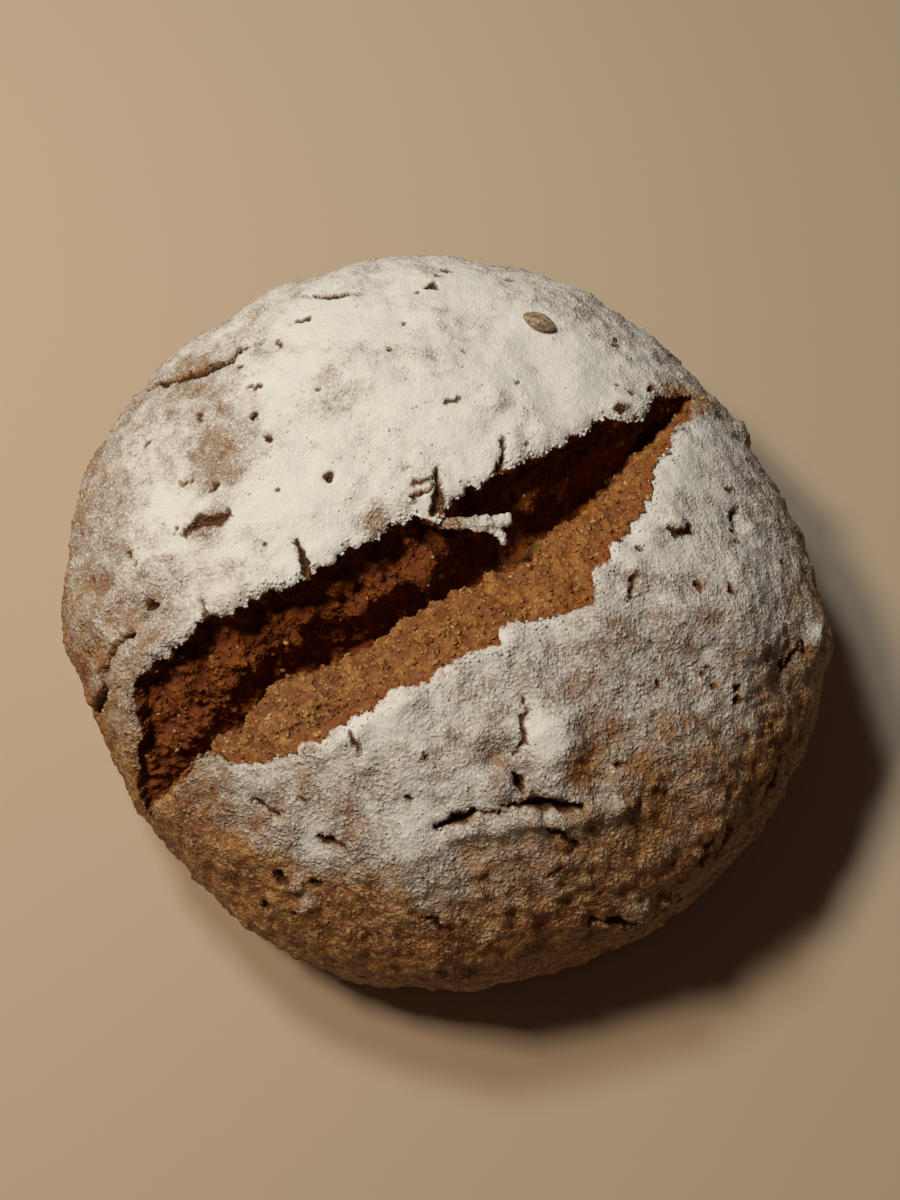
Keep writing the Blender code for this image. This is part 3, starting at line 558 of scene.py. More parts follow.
def crooked(along, across):
    """The same places, shifted a little so that straight features come out crooked."""
    flat = on_map(along, across, SEED)
    bent_along = along.copy()
    bent_across = across.copy()
    for size, shift in CROOKEDNESS:
        bent_along += shift * soft_noise(flat + (0, 0, 40), size)
        bent_across += shift * soft_noise(flat + (0, 0, 80), size)
    return bent_along, bent_across


def sunk(depth, far):
    """How deep a crack or pit is at a distance from its middle, in half widths of it."""
    return depth * np.clip(TEAR_STEEPNESS * (1 - far), 0.0, 1.0)


def crust_relief(along, across, cover):
    """How far the crust stands out from the dome, and how open it is torn, at each place."""
    flat = on_map(along, across, SEED)
    relief = CRUST_LUMP_HEIGHT * soft_noise(flat, CRUST_LUMP_SIZE, 3)
    bare = rise(1.05, 0.45, cover)
    rough = FLOURED_ROUGHNESS + (BARE_ROUGHNESS - FLOURED_ROUGHNESS) * bare
    for size, height in CRUST_LAYERS:
        relief += height * rough * soft_noise(flat, size, 2)
    relief += GRAIN_HEIGHT * rough * (0.3 - cell_noise(flat, GRAIN_SIZE) ** 2)
    bent_along, bent_across = crooked(along, across)
    for a, b, radius, height in BUMPS:
        far = np.hypot(bent_along - a, bent_across - b) / radius
        relief += height * np.exp(-far ** 3)
    for height, line in RIDGES:
        far = reach_of_line(bent_along, bent_across, line)
        relief += height * np.exp(-0.7 * far ** 2)
    torn = np.zeros_like(relief)
    draw = random.Random(SEED)
    for a, b, radius, depth in PITS + chance_pits(draw):
        far = np.hypot(bent_along - a, bent_across - b) / radius
        relief -= sunk(depth, far)
        torn = np.maximum(torn, rise(1.1, 0.6, far))
    for depth, line in CRACKS + chance_cracks(draw):
        far = reach_of_line(bent_along, bent_across, line)
        relief -= sunk(depth, far)
        torn = np.maximum(torn, rise(1.15, 0.6, far))
    settle = np.clip((FOOT_WAY - np.hypot(along, across)) / SETTLING, 0.0, 1.0)
    return relief * settle, torn


def flour_cover(along, across):
    """How thick the flour lies on the crust at each place, from 0 to 1."""
    flat = on_map(along, across, 20)
    steep = dome_outward(along, across)[:, 2]
    reach, amount = np.array(FLOUR_REACH).T
    cover = np.interp(np.hypot(along - FLOUR_MIDDLE[0], across - FLOUR_MIDDLE[1]), reach, amount)
    for a, b, radius, change in FLOUR_DRIFTS:
        far = np.hypot(along - a, across - b) / radius
        cover += change * np.exp(-far ** 2)
    for size, change in FLOUR_UNEVENNESS:
        cover += change * soft_noise(flat, size, 3)
    return np.clip(cover, 0.0, 1.0) * rise(*STEEP_CRUST, steep)


# ---------------------------------------------------------------- patches and their mesh

def edge_length(way):
    """The mesh's edge length at a way from the crown."""
    return np.interp(way, (SIDE_BEGINS, FOOT_WAY), (CRUST_EDGE, SIDE_EDGE))


def ring_places(draw):
    """Places in rings round the crown, as far apart as the loaf's true girth allows."""
    places = [(0.0, 0.0)]
    way = CRUST_EDGE
    while way < FOOT_WAY - 0.6 * SIDE_EDGE:
        spacing = edge_length(way)
        girth = math.tau * BELT_RADIUS * np.interp(way, WAY, REACH)
        count = round(girth / spacing)
        turn = math.tau * (np.arange(count) + draw.random()) / count
        places.extend(zip(way * np.cos(turn), way * np.sin(turn)))
        way += ROW_STEP * spacing
    return np.array(places)


def distance_to_places(places, others):
    """The distance from each place to the nearest of the others."""
    tree = kdtree.KDTree(len(others))
    for number, other in enumerate(others):
        tree.insert((*other, 0.0), number)
    tree.balance()
    return np.array([tree.find((*place, 0.0))[2] for place in places])


def thin_out(places, fixed, clearance):
    """The places that keep clear of the fixed ones."""
    return places[distance_to_places(places, fixed) > clearance]


def between(places, lower, upper):
    """Which places lie between two lines that run from one end of the burst to the other."""
    low = np.interp(places[:, 0], lower[:, 0], lower[:, 1], left=np.inf, right=np.inf)
    high = np.interp(places[:, 0], upper[:, 0], upper[:, 1], left=-np.inf, right=-np.inf)
    return (places[:, 1] > low) & (places[:, 1] < high)


def triangulate(places, loop_length):
    """Triangles between places in a plane. The first of them are a loop whose edges are kept."""
    loop = [(number, (number + 1) % loop_length) for number in range(loop_length)]
    corners, _, faces, *_ = geometry.delaunay_2d_cdt(
        [Vector(place) for place in places], loop, [], 0, 1e-7)
    if len(corners) != len(places):
        raise RuntimeError("two places of the mesh coincide")
    return np.array(faces)


def round_trip(low_line, high_line):
    """One loop out along the low line and back along the high one, whose ends they share."""
    return np.concatenate((low_line, high_line[-2:0:-1]))


def crack_places(draw):
    """Places close together in and beside the cracks and pits."""
    steps = np.arange(-FEATURE_REACH, FEATURE_REACH, CRACK_EDGE)
    grid = np.stack(np.meshgrid(steps, steps), axis=-1).reshape(-1, 2)
    grid += 0.25 * CRACK_EDGE * np.array([(draw.random(), draw.random()) for _ in range(len(grid))])
    along, across = crooked(*grid.T)
    wanted = np.zeros(len(grid), dtype=bool)
    for _, line in CRACKS:
        width = max(point[2] for point in line)
        wanted |= reach_of_line(along, across, line) < 1.0 + 1.2 / width
    for a, b, radius, _ in PITS:
        wanted |= np.hypot(along - a, across - b) < radius + 0.8
    return grid[wanted]


def crust_patch(low_lip, high_lip, foot):
    """The crust, open at the burst: points, triangles, flour cover, tears and way to the lips."""
    lips = round_trip(low_lip, high_lip)
    fixed = np.concatenate((lips, foot))
    draw = random.Random(SEED)
    fine = thin_out(crack_places(draw), fixed, 0.8 * CRACK_EDGE)
    rings = thin_out(ring_places(draw), np.concatenate((fixed, fine)), CLEARANCE * CRUST_EDGE)
    inner = np.concatenate((fine, rings))
    inner = inner[~between(inner, low_lip, high_lip)]
    places = np.concatenate((fixed, inner))
    faces = triangulate(places, len(lips))
    faces = faces[~between(places[faces].mean(axis=1), low_lip, high_lip)]
    along, across = places.T
    cover = flour_cover(along, across)
    relief, torn = crust_relief(along, across, cover)
    to_lip = distance_to_places(places, lips)
    flat = np.pad(places, ((0, 0), (0, 1)))
    lift = LIP_LIFT * (0.6 + soft_noise(flat, LIP_LIFT_SIZE))
    relief += lift * np.exp(-((to_lip - LIP_LIFT_REACH) / LIP_LIFT_REACH) ** 2)
    relief -= LIP_ROUNDING * np.exp(-(to_lip / LIP_ROUNDING_REACH) ** 2)
    points = dome(along, across) + relief[:, None] * dome_outward(along, across)
    return points, faces, cover * (1 - TEAR_LOSS * torn), torn, to_lip


def burst_patch(low_lip, high_lip):
    """The burst's walls, laid out with each section unrolled from the low lip.

    Gives all corners' (along, way), the triangles, and for the corners inside the lips their
    points, depth, way from the nearer lip, share of the way to the high lip, and crag height.
    """
    total = section_lengths(burst_sections(high_lip[:, 0], low_lip, high_lip))[:, -1]
    total[[0, -1]] = 0.0
    low_line = np.stack((low_lip[:, 0], np.zeros(len(low_lip))), axis=-1)
    high_line = np.stack((high_lip[:, 0], total), axis=-1)
    lips = round_trip(low_line, high_line)
    grid = []
    columns = np.arange(high_lip[0, 0], high_lip[-1, 0], ROW_STEP * CRUMB_EDGE)
    for column, along in enumerate(columns):
        start = 0.5 * CRUMB_EDGE * (1 + column % 2)
        grid.extend((along, way) for way in np.arange(start, total.max(), CRUMB_EDGE))
    grid = np.array(grid)
    grid = grid[between(grid + (0.0, 0.3 * CRUMB_EDGE), low_line, high_line)]
    grid = thin_out(grid, lips, CLEARANCE * CRUMB_EDGE)
    places = np.concatenate((lips, grid))
    faces = triangulate(places, len(lips))
    faces = faces[between(places[faces].mean(axis=1), low_line, high_line)]
    along, way = grid.T
    full_way = np.interp(along, high_lip[:, 0], total)
    from_lip = np.minimum(way, full_way - way)
    crag_heights = np.clip(from_lip / CRAG_SIZE, 0.0, 1.0) * full_way / total.max()
    points, depth = burst_points(along, way, low_lip, high_lip)
    crag_heights *= 1 - VALLEY_CALM * rise(*VALLEY_BEGINS, depth)
    return places, faces, points, depth, from_lip, way / full_way, crag_heights


def base_patch(ring):
    """The flat base inside the foot's ring: inner points, and triangles that face down."""
    steps = np.arange(-BELT_RADIUS, BELT_RADIUS, BASE_EDGE)
    reach = REACH[-1] * BELT_RADIUS - BASE_EDGE
    inner = np.array([(x, y) for x in steps for y in steps if math.hypot(x, y) < reach])
    faces = triangulate(np.concatenate((ring[:, :2], inner)), len(ring))
    return np.pad(inner, ((0, 0), (0, 1))), faces[:, ::-1]


def vertex_normals(points, faces):
    """The mean outward way at each vertex."""
    corners = points[faces]
    face_normals = np.cross(corners[:, 1] - corners[:, 0], corners[:, 2] - corners[:, 0])
    normals = np.zeros_like(points)
    for corner in range(3):
        np.add.at(normals, faces[:, corner], face_normals)
    return normals / np.maximum(np.linalg.norm(normals, axis=1, keepdims=True), 1e-12)


def crumb_relief(points, heights, from_lip, far_share):
    """How far the burst's walls stand out, in all and without the broad crags."""
    relief = CRAG_HEIGHT * heights * soft_noise(points, CRAG_SIZE, 2)
    small = np.zeros_like(relief)
    for size, height in CRUMB_LAYERS:
        small += height * soft_noise(points, size, 2)
    small *= NEAR_CRUMB_SHARE + (FAR_CRUMB_SHARE - NEAR_CRUMB_SHARE) * far_share
    small += PEBBLE_HEIGHT * (0.4 - cell_noise(points, PEBBLE_SIZE))
    small -= PORE_DEPTH * rise(0.26, 0.06, cell_noise(points, PORE_SIZE))
    small *= np.clip(from_lip / CRUMB_FADE, 0.0, 1.0)
    return relief + small, small


def set_attribute(mesh, name, values):
    """One number for each vertex, kept on the mesh for its material."""
    layer = mesh.attributes.new(name, "FLOAT", "POINT")
    layer.data.foreach_set("value", np.asarray(values, dtype=np.float32))


def set_attributes_on(mesh, where, values_by_name):
    """Numbers for some of the mesh's vertices, and 0 for the rest."""
    for name, values in values_by_name.items():
        whole = np.zeros(len(mesh.vertices))
        whole[where] = values
        set_attribute(mesh, name, whole)


def add_object(name, data):
    """An object that is linked to the scene."""
    made = bpy.data.objects.new(name, data)
    bpy.context.scene.collection.objects.link(made)
    return made


def build_mesh(name, points, faces, materials, slots=None):
    """An object from points in millimetres, smooth shaded, with its materials in slots."""
    mesh = bpy.data.meshes.new(name)
    mesh.from_pydata((np.asarray(points) * MM).tolist(), [], np.asarray(faces).tolist())
    for material in materials:
        mesh.materials.append(material)
    if slots is not None:
        mesh.polygons.foreach_set("material_index", np.asarray(slots, dtype=np.int32))
    mesh.shade_smooth()
    return add_object(name, mesh)


def join_patches(crust, walls, base, lip_count, foot_count):
    """Points, triangles and slots of three patches, and which points are the burst's walls.

    Each patch is (points, triangles). The first corners of the walls are the crust's lips, and
    the first ones of the base are the crust's foot, so the patches share them.
    """
    first_wall = len(crust[0])
    first_base = first_wall + len(walls[0])
    wall_faces = np.where(walls[1] < lip_count, walls[1], walls[1] - lip_count + first_wall)
    base_faces = np.where(
        base[1] < foot_count, base[1] + lip_count, base[1] - foot_count + first_base)
    points = np.concatenate((crust[0], walls[0], base[0]))
    faces = np.concatenate((crust[1], wall_faces, base_faces))
    slots = np.repeat((0, 1, 0), (len(crust[1]), len(wall_faces), len(base_faces)))
    return points, faces, slots, slice(first_wall, first_base)


def make_loaf(materials):
    """The whole loaf as one closed mesh. Also what is known of its surface, for small pieces."""
    low_line = resample(LOW_LIP, LIP_EDGE)
    high_line = resample(HIGH_LIP, LIP_EDGE)
    low_lip = ragged(low_line, high_line)
    high_lip = ragged(high_line, low_line)
    lip_count = len(low_lip) + len(high_lip) - 2
    foot_count = round(math.tau * BELT_RADIUS * REACH[-1] / SIDE_EDGE)
    foot_turn = np.arange(foot_count) * math.tau / foot_count
    foot = FOOT_WAY * np.stack((np.cos(foot_turn), np.sin(foot_turn)), axis=-1)
    crust, crust_faces, cover, torn, to_lip = crust_patch(low_lip, high_lip, foot)
    flat, wall_faces, walls, depth, from_lip, share, crag_heights = burst_patch(low_lip, high_lip)
    base, base_faces = base_patch(crust[lip_count:lip_count + foot_count])
    points, faces, slots, wall = join_patches(
        (crust, crust_faces), (walls, wall_faces), (base, base_faces), lip_count, foot_count)

    far = rise(*FAR_WALL, share)
    relief, small = crumb_relief(points[wall], crag_heights, from_lip, far)
    points[wall] += relief[:, None] * vertex_normals(points, faces)[wall]

    loaf = build_mesh("rye_loaf", points, faces, materials, slots)
    along, way = flat[lip_count:].T
    # tear marks the cracks and pits: it takes flour away there and steers the painted shade in
    # them.
    set_attributes_on(loaf.data, slice(0, len(crust)), {"cover": cover, "tear": torn})
    # hollow and crest steer painted shade deep in the burst and in the crumb's hollows, and painted
    # highlights on its crests.
    set_attributes_on(loaf.data, wall, {
        "hollow": np.clip(depth / BURST_DEPTH - 0.08 * relief, 0.0, 1.0),
        "from_low_lip": way,
        "far": far,
        "crest": np.clip(0.5 + 0.45 * small, 0.0, 1.0),
        "warmth": rise(*WARM_CRUMB, along)})
    surface = SimpleNamespace(
        points=points, normals=vertex_normals(points, faces), cover=cover, to_lip=to_lip,
        walls=np.arange(wall.start, wall.stop))
    return loaf, surface


# ---------------------------------------------------------------- materials

def new_material(name):
    """A material, its node tree and its Principled shader."""
    material = bpy.data.materials.new(name)
    material.use_nodes = True
    tree = material.node_tree
    return material, tree, tree.nodes["Principled BSDF"]


def add_node(tree, kind, inputs=(), **settings):
    """A shader node with its settings, and its inputs set to values or linked to sockets."""
    node = tree.nodes.new(kind)
    for key, value in settings.items():
        setattr(node, key, value)
    for key, value in dict(inputs).items():
        if isinstance(value, bpy.types.NodeSocket):
            tree.links.new(value, node.inputs[key])
        else:
            node.inputs[key].default_value = value
    return node


def dress(tree, shader, colour, rough, height, strength, depth):
    """A shader's colour, roughness and bump, whose depth is in millimetres."""
    tree.links.new(colour, shader.inputs["Base Color"])
    tree.links.new(rough, shader.inputs["Roughness"])
    bump = add_node(tree, "ShaderNodeBump", {
        "Height": height, "Strength": strength, "Distance": depth * MM})
    tree.links.new(bump.outputs["Normal"], shader.inputs["Normal"])


def own_place(tree):
    """The place on the piece that is being coloured."""
    return tree.nodes.new("ShaderNodeTexCoord").outputs["Object"]


def maths(tree, operation, first, second=0.0):
    """A Math node's result."""
    return add_node(tree, "ShaderNodeMath", {0: first, 1: second}, operation=operation).outputs[0]


def span(tree, value, low, high, to_low=0.0, to_high=1.0):
    """A value moved smoothly from one range to another."""
    node = add_node(tree, "ShaderNodeMapRange", {
        "Value": value, "From Min": low, "From Max": high, "To Min": to_low, "To Max": to_high},
        interpolation_type="SMOOTHSTEP")
    return node.outputs["Result"]


def blend(tree, share, first, second):
    """Two colours mixed by a share."""
    first, second = (
        colour if isinstance(colour, bpy.types.NodeSocket) else (*colour, 1.0)
        for colour in (first, second))
    node = add_node(tree, "ShaderNodeMix", {0: share, 6: first, 7: second}, data_type="RGBA")
    return node.outputs[2]


def weighted(tree, *parts):
    """The sum of values, each times its weight."""
    total = None
    for value, weight in parts:
        term = maths(tree, "MULTIPLY", value, weight)
        total = term if total is None else maths(tree, "ADD", total, term)
    return total


def speckle(tree, place, size, detail=2.0, rough=0.55):
    """Noise with lumps about a size across, in millimetres."""
    node = add_node(tree, "ShaderNodeTexNoise", {
        "Vector": place, "Scale": 1 / (size * MM), "Detail": detail, "Roughness": rough})
    return node.outputs["Fac"]


def attribute(tree, name):
    """A number kept on the mesh."""
    return add_node(tree, "ShaderNodeAttribute", attribute_name=name).outputs["Fac"]


def new_group(name, inputs, outputs):
    """A node group with named number or colour sockets."""
    group = bpy.data.node_groups.new(name, "ShaderNodeTree")
    for direction, sockets in (("INPUT", inputs), ("OUTPUT", outputs)):
        for socket, kind, value in sockets:
            made = group.interface.new_socket(socket, in_out=direction, socket_type=kind)
            if direction == "INPUT" and value is not None:
                made.default_value = value
    return group, group.nodes.new("NodeGroupInput"), group.nodes.new("NodeGroupOutput")


def grains_group():
    """Rounded grains of uneven height on bent cells: up to 1 on top, and 0 between them."""
    group, given, result = new_group(
        "rounded_grains",
        (("Grains per Metre", "NodeSocketFloat", 1000.0),
         ("Bends per Metre", "NodeSocketFloat", 1000.0), ("Bend Reach", "NodeSocketFloat", 0.001)),
        (("Height", "NodeSocketFloat", None),))
    place = own_place(group)
    shift = add_node(group, "ShaderNodeTexNoise", {
        "Vector": place, "Scale": given.outputs["Bends per Metre"]})
    bent = add_node(group, "ShaderNodeVectorMath", {
        0: shift.outputs["Color"], 1: given.outputs["Bend Reach"], 2: place},
        operation="MULTIPLY_ADD")
    cells = add_node(group, "ShaderNodeTexVoronoi", {
        "Vector": bent.outputs["Vector"], "Scale": given.outputs["Grains per Metre"]})
    chance = add_node(group, "ShaderNodeSeparateColor", {"Color": cells.outputs["Color"]})
    tall = span(group, chance.outputs["Red"], 0.1, 0.9, 0.25, 1.0)
    round_top = span(group, cells.outputs["Distance"], 0.15, 0.65, 1.0, 0.0)
    group.links.new(maths(group, "MULTIPLY", tall, round_top), result.inputs["Height"])
    return group


def rounded_grains(tree, grains, size, bend_size, bend_reach):
    """The height of rounded grains about a size apart, all in millimetres."""
    node = add_node(tree, "ShaderNodeGroup", {
        "Grains per Metre": 1 / (size * MM), "Bends per Metre": 1 / (bend_size * MM),
        "Bend Reach": bend_reach * MM}, node_tree=grains)
    return node.outputs["Height"]


def flour_group(round_grains):
    """Sifted flour: where it lies and how it heaps up, for a given cover."""
    group, given, result = new_group(
        "sifted_flour", (("Cover", "NodeSocketFloat", 0.5),),
        (("Mask", "NodeSocketFloat", None), ("Height", "NodeSocketFloat", None),
         ("Grain", "NodeSocketFloat", None)))
    cover = given.outputs["Cover"]
    place = own_place(group)
    lumps = speckle(group, place, 3.2, 3.0)
    dust = speckle(group, place, 0.8, 3.0, 0.65)
    large = rounded_grains(group, round_grains, 1.15, 1.4, 0.8)
    small = rounded_grains(group, round_grains, 0.6, 1.4, 0.8)
    grains = weighted(group, (large, 0.65), (small, 0.35))
    patches = weighted(
        group, (speckle(group, place, 6.0, 6.0, 0.75), 0.70), (dust, 0.25), (grains, 0.22))
    spread = maths(group, "MULTIPLY", maths(group, "SUBTRACT", patches, 0.52), FLOUR_CONTRAST)
    spread = maths(group, "MULTIPLY", spread, span(group, cover, 0.7, 1.0, 1.0, 0.6))
    over = maths(group, "ADD", spread, maths(group, "SUBTRACT", cover, 0.5))
    mask = span(group, over, -FLOUR_SOFTNESS, FLOUR_SOFTNESS)
    filled = span(group, cover, 0.5, 1.0, 1.0, 0.25)
    height = weighted(group, (lumps, 0.75), (dust, 0.16), (grains, 0.30))
    group.links.new(mask, result.inputs["Mask"])
    group.links.new(maths(group, "MULTIPLY", height, filled), result.inputs["Height"])
    group.links.new(dust, result.inputs["Grain"])
    return group


def crust_material(flour):
    """Baked rye crust under sifted flour, with painted shade in its cracks and pits."""
    material, tree, shader = new_material("floured_rye_crust")
    place = own_place(tree)
    cover = attribute(tree, "cover")
    tear = attribute(tree, "tear")
    lying = add_node(tree, "ShaderNodeGroup", {"Cover": cover}, node_tree=flour)
    patches = span(tree, speckle(tree, place, 7.0, 4.0), 0.38, 0.62)
    brown = blend(tree, patches, DARK_CRUST, BARE_CRUST)
    specks = span(tree, speckle(tree, place, 1.3, 3.0), 0.48, 0.68, 0.0, 0.8)
    brown = blend(tree, specks, brown, PALE_CRUST)
    brown = blend(tree, span(tree, cover, 0.20, 0.75, 0.0, 0.9), brown, DUSTED_CRUST)
    white = blend(tree, span(tree, lying.outputs["Grain"], 0.42, 0.75), FLOUR_SHADE, FLOUR)
    white = blend(tree, span(tree, cover, 0.5, 1.0, 0.0, 0.85), white, FLOUR)
    white = blend(tree, span(tree, cover, 0.15, 0.60), THIN_FLOUR, white)
    colour = blend(tree, lying.outputs["Mask"], brown, white)
    # Cracks and pits are painted near black: painted shade in them, over their bare crust.
    colour = blend(tree, span(tree, tear, 0.3, 0.9, 0.0, 0.9), colour, CRACK_AND_PIT_SHADE)
    rough = span(tree, lying.outputs["Mask"], 0.0, 1.0, 0.55, 0.95)
    height = weighted(tree, (lying.outputs["Height"], 1.0), (lying.outputs["Mask"], 0.10))
    dress(tree, shader, colour, rough, height, 1.0, 1.6)
    shader.inputs["Specular IOR Level"].default_value = SHINE
    return material


def crumb_material(round_grains):
    """Moist rye crumb: warm brown, grainy and full of small pores, with painted shade and painted
    highlights in its colour.
    """
    material, tree, shader = new_material("rye_crumb")
    place = own_place(tree)
    hollow = attribute(tree, "hollow")
    far = attribute(tree, "far")
    beads = rounded_grains(tree, round_grains, 1.3, 1.2, 1.0)
    grains = speckle(tree, place, 0.9, 3.0, 0.6)
    patches = speckle(tree, place, 4.0, 3.0, 0.5)
    base = blend(tree, attribute(tree, "warmth"), CRUMB_TAN, CRUMB)
    base = blend(tree, span(tree, patches, 0.45, 0.62, 0.0, 0.6), base, CRUMB_TAN)
    # The far wall faces away from the lamps and is painted darker: painted shade.
    base = blend(tree, far, base, SHADED_FAR_CRUMB)
    pale = blend(tree, far, CRUMB_PALE_AND_HIGHLIGHT, SHADED_FAR_PALE)
    # Crests and grain tops are painted paler as highlight, and hollows and the gaps between grains
    # darker as shade; the patches are the crumb's own uneven tone.
    tone = weighted(tree, (attribute(tree, "crest"), 0.65), (patches, 0.6), (beads, 0.45))
    colour = blend(tree, span(tree, tone, 0.72, 1.12, 0.0, 0.9), base, pale)
    colour = blend(tree, span(tree, tone, 0.42, 0.82, 0.70, 0.0), colour, CRUMB_DARK_AND_SHADE)
    way = weighted(tree, (attribute(tree, "from_low_lip"), 1.0), (patches, 7.0))
    colour = blend(tree, span(tree, way, 4.0, 9.5, 0.8, 0.0), colour, CRUMB_RED)
    colour = blend(tree, span(tree, grains, 0.34, 0.46, 0.22, 0.0), colour, CRUMB_DARK_AND_SHADE)
    colour = blend(tree, span(tree, grains, 0.56, 0.70, 0.0, 0.60), colour, pale)
    # Deeper in the burst the crumb is darker: moister crumb, and painted shade.
    colour = blend(tree, span(tree, hollow, 0.50, 0.95, 0.0, 0.45), colour, DEEP_CRUMB_AND_SHADE)
    rough = span(tree, grains, 0.3, 0.7, 0.72, 0.48)
    height = weighted(tree, (beads, 0.75), (grains, 0.45))
    dress(tree, shader, colour, rough, height, 1.0, 0.8)
    shine = span(tree, far, 0.0, 1.0, SHINE, FAR_SHINE)
    tree.links.new(shine, shader.inputs["Specular IOR Level"])
    return material


def fleck_material():
    """Pale flecks of bran and cracked grain in the crumb."""
    material, tree, shader = new_material("pale_bran")
    place = own_place(tree)
    tone = speckle(tree, place, 0.8, 2.0)
    colour = blend(tree, span(tree, tone, 0.35, 0.65), BRAN, BRAN_PALE)
    rough = span(tree, tone, 0.3, 0.7, 0.6, 0.4)
    dress(tree, shader, colour, rough, tone, 0.5, 0.3)
    return material


def grain_material():
    """A baked whole grain: olive tan skin, a little glossy, dusted in places."""
    material, tree, shader = new_material("baked_grain")
    place = own_place(tree)
    streaks = speckle(tree, place, 1.2, 3.0)
    dust = span(tree, speckle(tree, place, 0.7, 2.0), 0.58, 0.66)
    colour = blend(tree, span(tree, streaks, 0.35, 0.65), GRAIN_SKIN, GRAIN_PALE)
    colour = blend(tree, dust, colour, FLOUR_SHADE)
    rough = span(tree, streaks, 0.3, 0.7, 0.45, 0.65)
    dress(tree, shader, colour, rough, streaks, 0.4, 0.4)
    return material


# ---------------------------------------------------------------- small pieces

def swept_tube(middle, widths, thickness, sides=12):
    """A flattened tube with closed ends round a line of points."""
    run = np.gradient(middle, axis=0)
    run /= np.linalg.norm(run, axis=1, keepdims=True)
    side = np.cross(run, (0.0, 0.0, 1.0))
    side /= np.linalg.norm(side, axis=1, keepdims=True)
    up = np.cross(side, run)
    turn = np.arange(sides) * math.tau / sides
    points = [
        middle[k] + 0.5 * widths[k] * math.cos(t) * side[k] + 0.5 * thickness * math.sin(t) * up[k]
        for k in range(len(middle)) for t in turn]
    faces = []
    for k in range(len(middle) - 1):
        for s in range(sides):
            here = k * sides + s
            beside = k * sides + (s + 1) % sides
            faces.append((here, here + sides, beside + sides, beside))
    last = (len(middle) - 1) * sides
    faces.append(tuple(range(sides)))
    faces.append(tuple(last + s for s in reversed(range(sides))))
    return points, faces


def make_tongue(material):
    """The forked strip of crust over the burst, remeshed into one rough skin."""
    points = []
    faces = []
    for spine in TONGUE_PRONGS:
        spine = np.array(spine, dtype=float)
        way = np.arange(len(spine))
        fine = np.linspace(0, len(spine) - 1, 24)
        spine = np.stack([np.interp(fine, way, spine[:, column]) for column in range(4)], axis=-1)
        middle = dome(spine[:, 0], spine[:, 1]) + (0, 0, 1) * spine[:, 2:3]
        widths = spine[:, 3] * (1 + 0.25 * soft_noise(middle, 2.0))
        tube, sides = swept_tube(middle, widths, TONGUE_THICKNESS)
        faces.extend(tuple(corner + len(points) for corner in face) for face in sides)
        points.extend(tube)
    mesh = bpy.data.meshes.new("crust_tongue")
    mesh.from_pydata((np.array(points) * MM).tolist(), [], faces)
    tongue = add_object("crust_tongue", mesh)
    remesh = tongue.modifiers.new("one_skin", "REMESH")
    remesh.mode = "VOXEL"
    remesh.voxel_size = TONGUE_SKIN * MM
    bpy.context.view_layer.objects.active = tongue
    bpy.ops.object.modifier_apply(modifier=remesh.name)
    mesh = tongue.data
    places = np.array([vertex.co for vertex in mesh.vertices]) / MM
    normals = np.array([vertex.normal for vertex in mesh.vertices])
    relief = sum(height * soft_noise(places, size, 2) for size, height in TONGUE_LAYERS)
    for vertex, lift, normal in zip(mesh.vertices, relief, normals):
        vertex.co += Vector(normal * lift * MM)
    mesh.materials.append(material)
    mesh.shade_smooth()
    outer = rise(places[:, 0].min(), places[:, 0].max(), places[:, 0])
    cover = (0.15 + 0.35 * outer) + 0.35 * rise(-0.2, 0.6, normals[:, 2])
    set_attribute(mesh, "cover", cover + 0.2 * soft_noise(places, 3.0))
    return tongue


def surface_seat(along, across):
    """The crust's point at one place on the map, and the way out of it."""
    a = np.array([along])
    b = np.array([across])
    out = dome_outward(a, b)[0]
    relief, _ = crust_relief(a, b, flour_cover(a, b))
    return dome(a, b)[0] + relief[0] * out, out


def make_grain(material):
    """The whole grain: a plump ellipsoid with pointed ends and a crease along it."""
    ends = np.array(GRAIN_ENDS)
    tips = dome(ends[:, 0], ends[:, 1])
    seat, out = surface_seat(*ends.mean(axis=0))
    long_way = tips[1] - tips[0]
    length = np.linalg.norm(long_way)
    long_way /= length
    side = np.cross(out, long_way)
    side /= np.linalg.norm(side)
    up = np.cross(long_way, side)
    seat = seat + GRAIN_LIFT * GRAIN_THICKNESS * out
    form = bmesh.new()
    bmesh.ops.create_icosphere(form, subdivisions=4, radius=1.0)
    for vertex in form.verts:
        x, y, z = vertex.co
        narrow = 1 - GRAIN_TAPER * x * x
        crease = GRAIN_CREASE * math.exp(-(y / GRAIN_CREASE) ** 2) * (z > 0) * (1 - x ** 4)
        wrinkle = GRAIN_WRINKLES * noise.noise((4 * x, 9 * y, 9 * z))
        place = seat + 0.5 * length * x * long_way
        place = place + 0.5 * GRAIN_WIDTH * y * narrow * side
        place = place + 0.5 * GRAIN_THICKNESS * (z * narrow * (1 + wrinkle) - crease) * up
        vertex.co = Vector(place * MM)
    mesh = bpy.data.meshes.new("rye_grain")
    form.to_mesh(mesh)
    form.free()
    mesh.materials.append(material)
    mesh.shade_smooth()
    return add_object("rye_grain", mesh)


def lump_template():
    """A unit ball's points and triangles."""
    form = bmesh.new()
    bmesh.ops.create_icosphere(form, subdivisions=1, radius=1.0)
    points = np.array([vertex.co for vertex in form.verts])
    faces = np.array([[vertex.index for vertex in face.verts] for face in form.faces])
    form.free()
    return points, faces


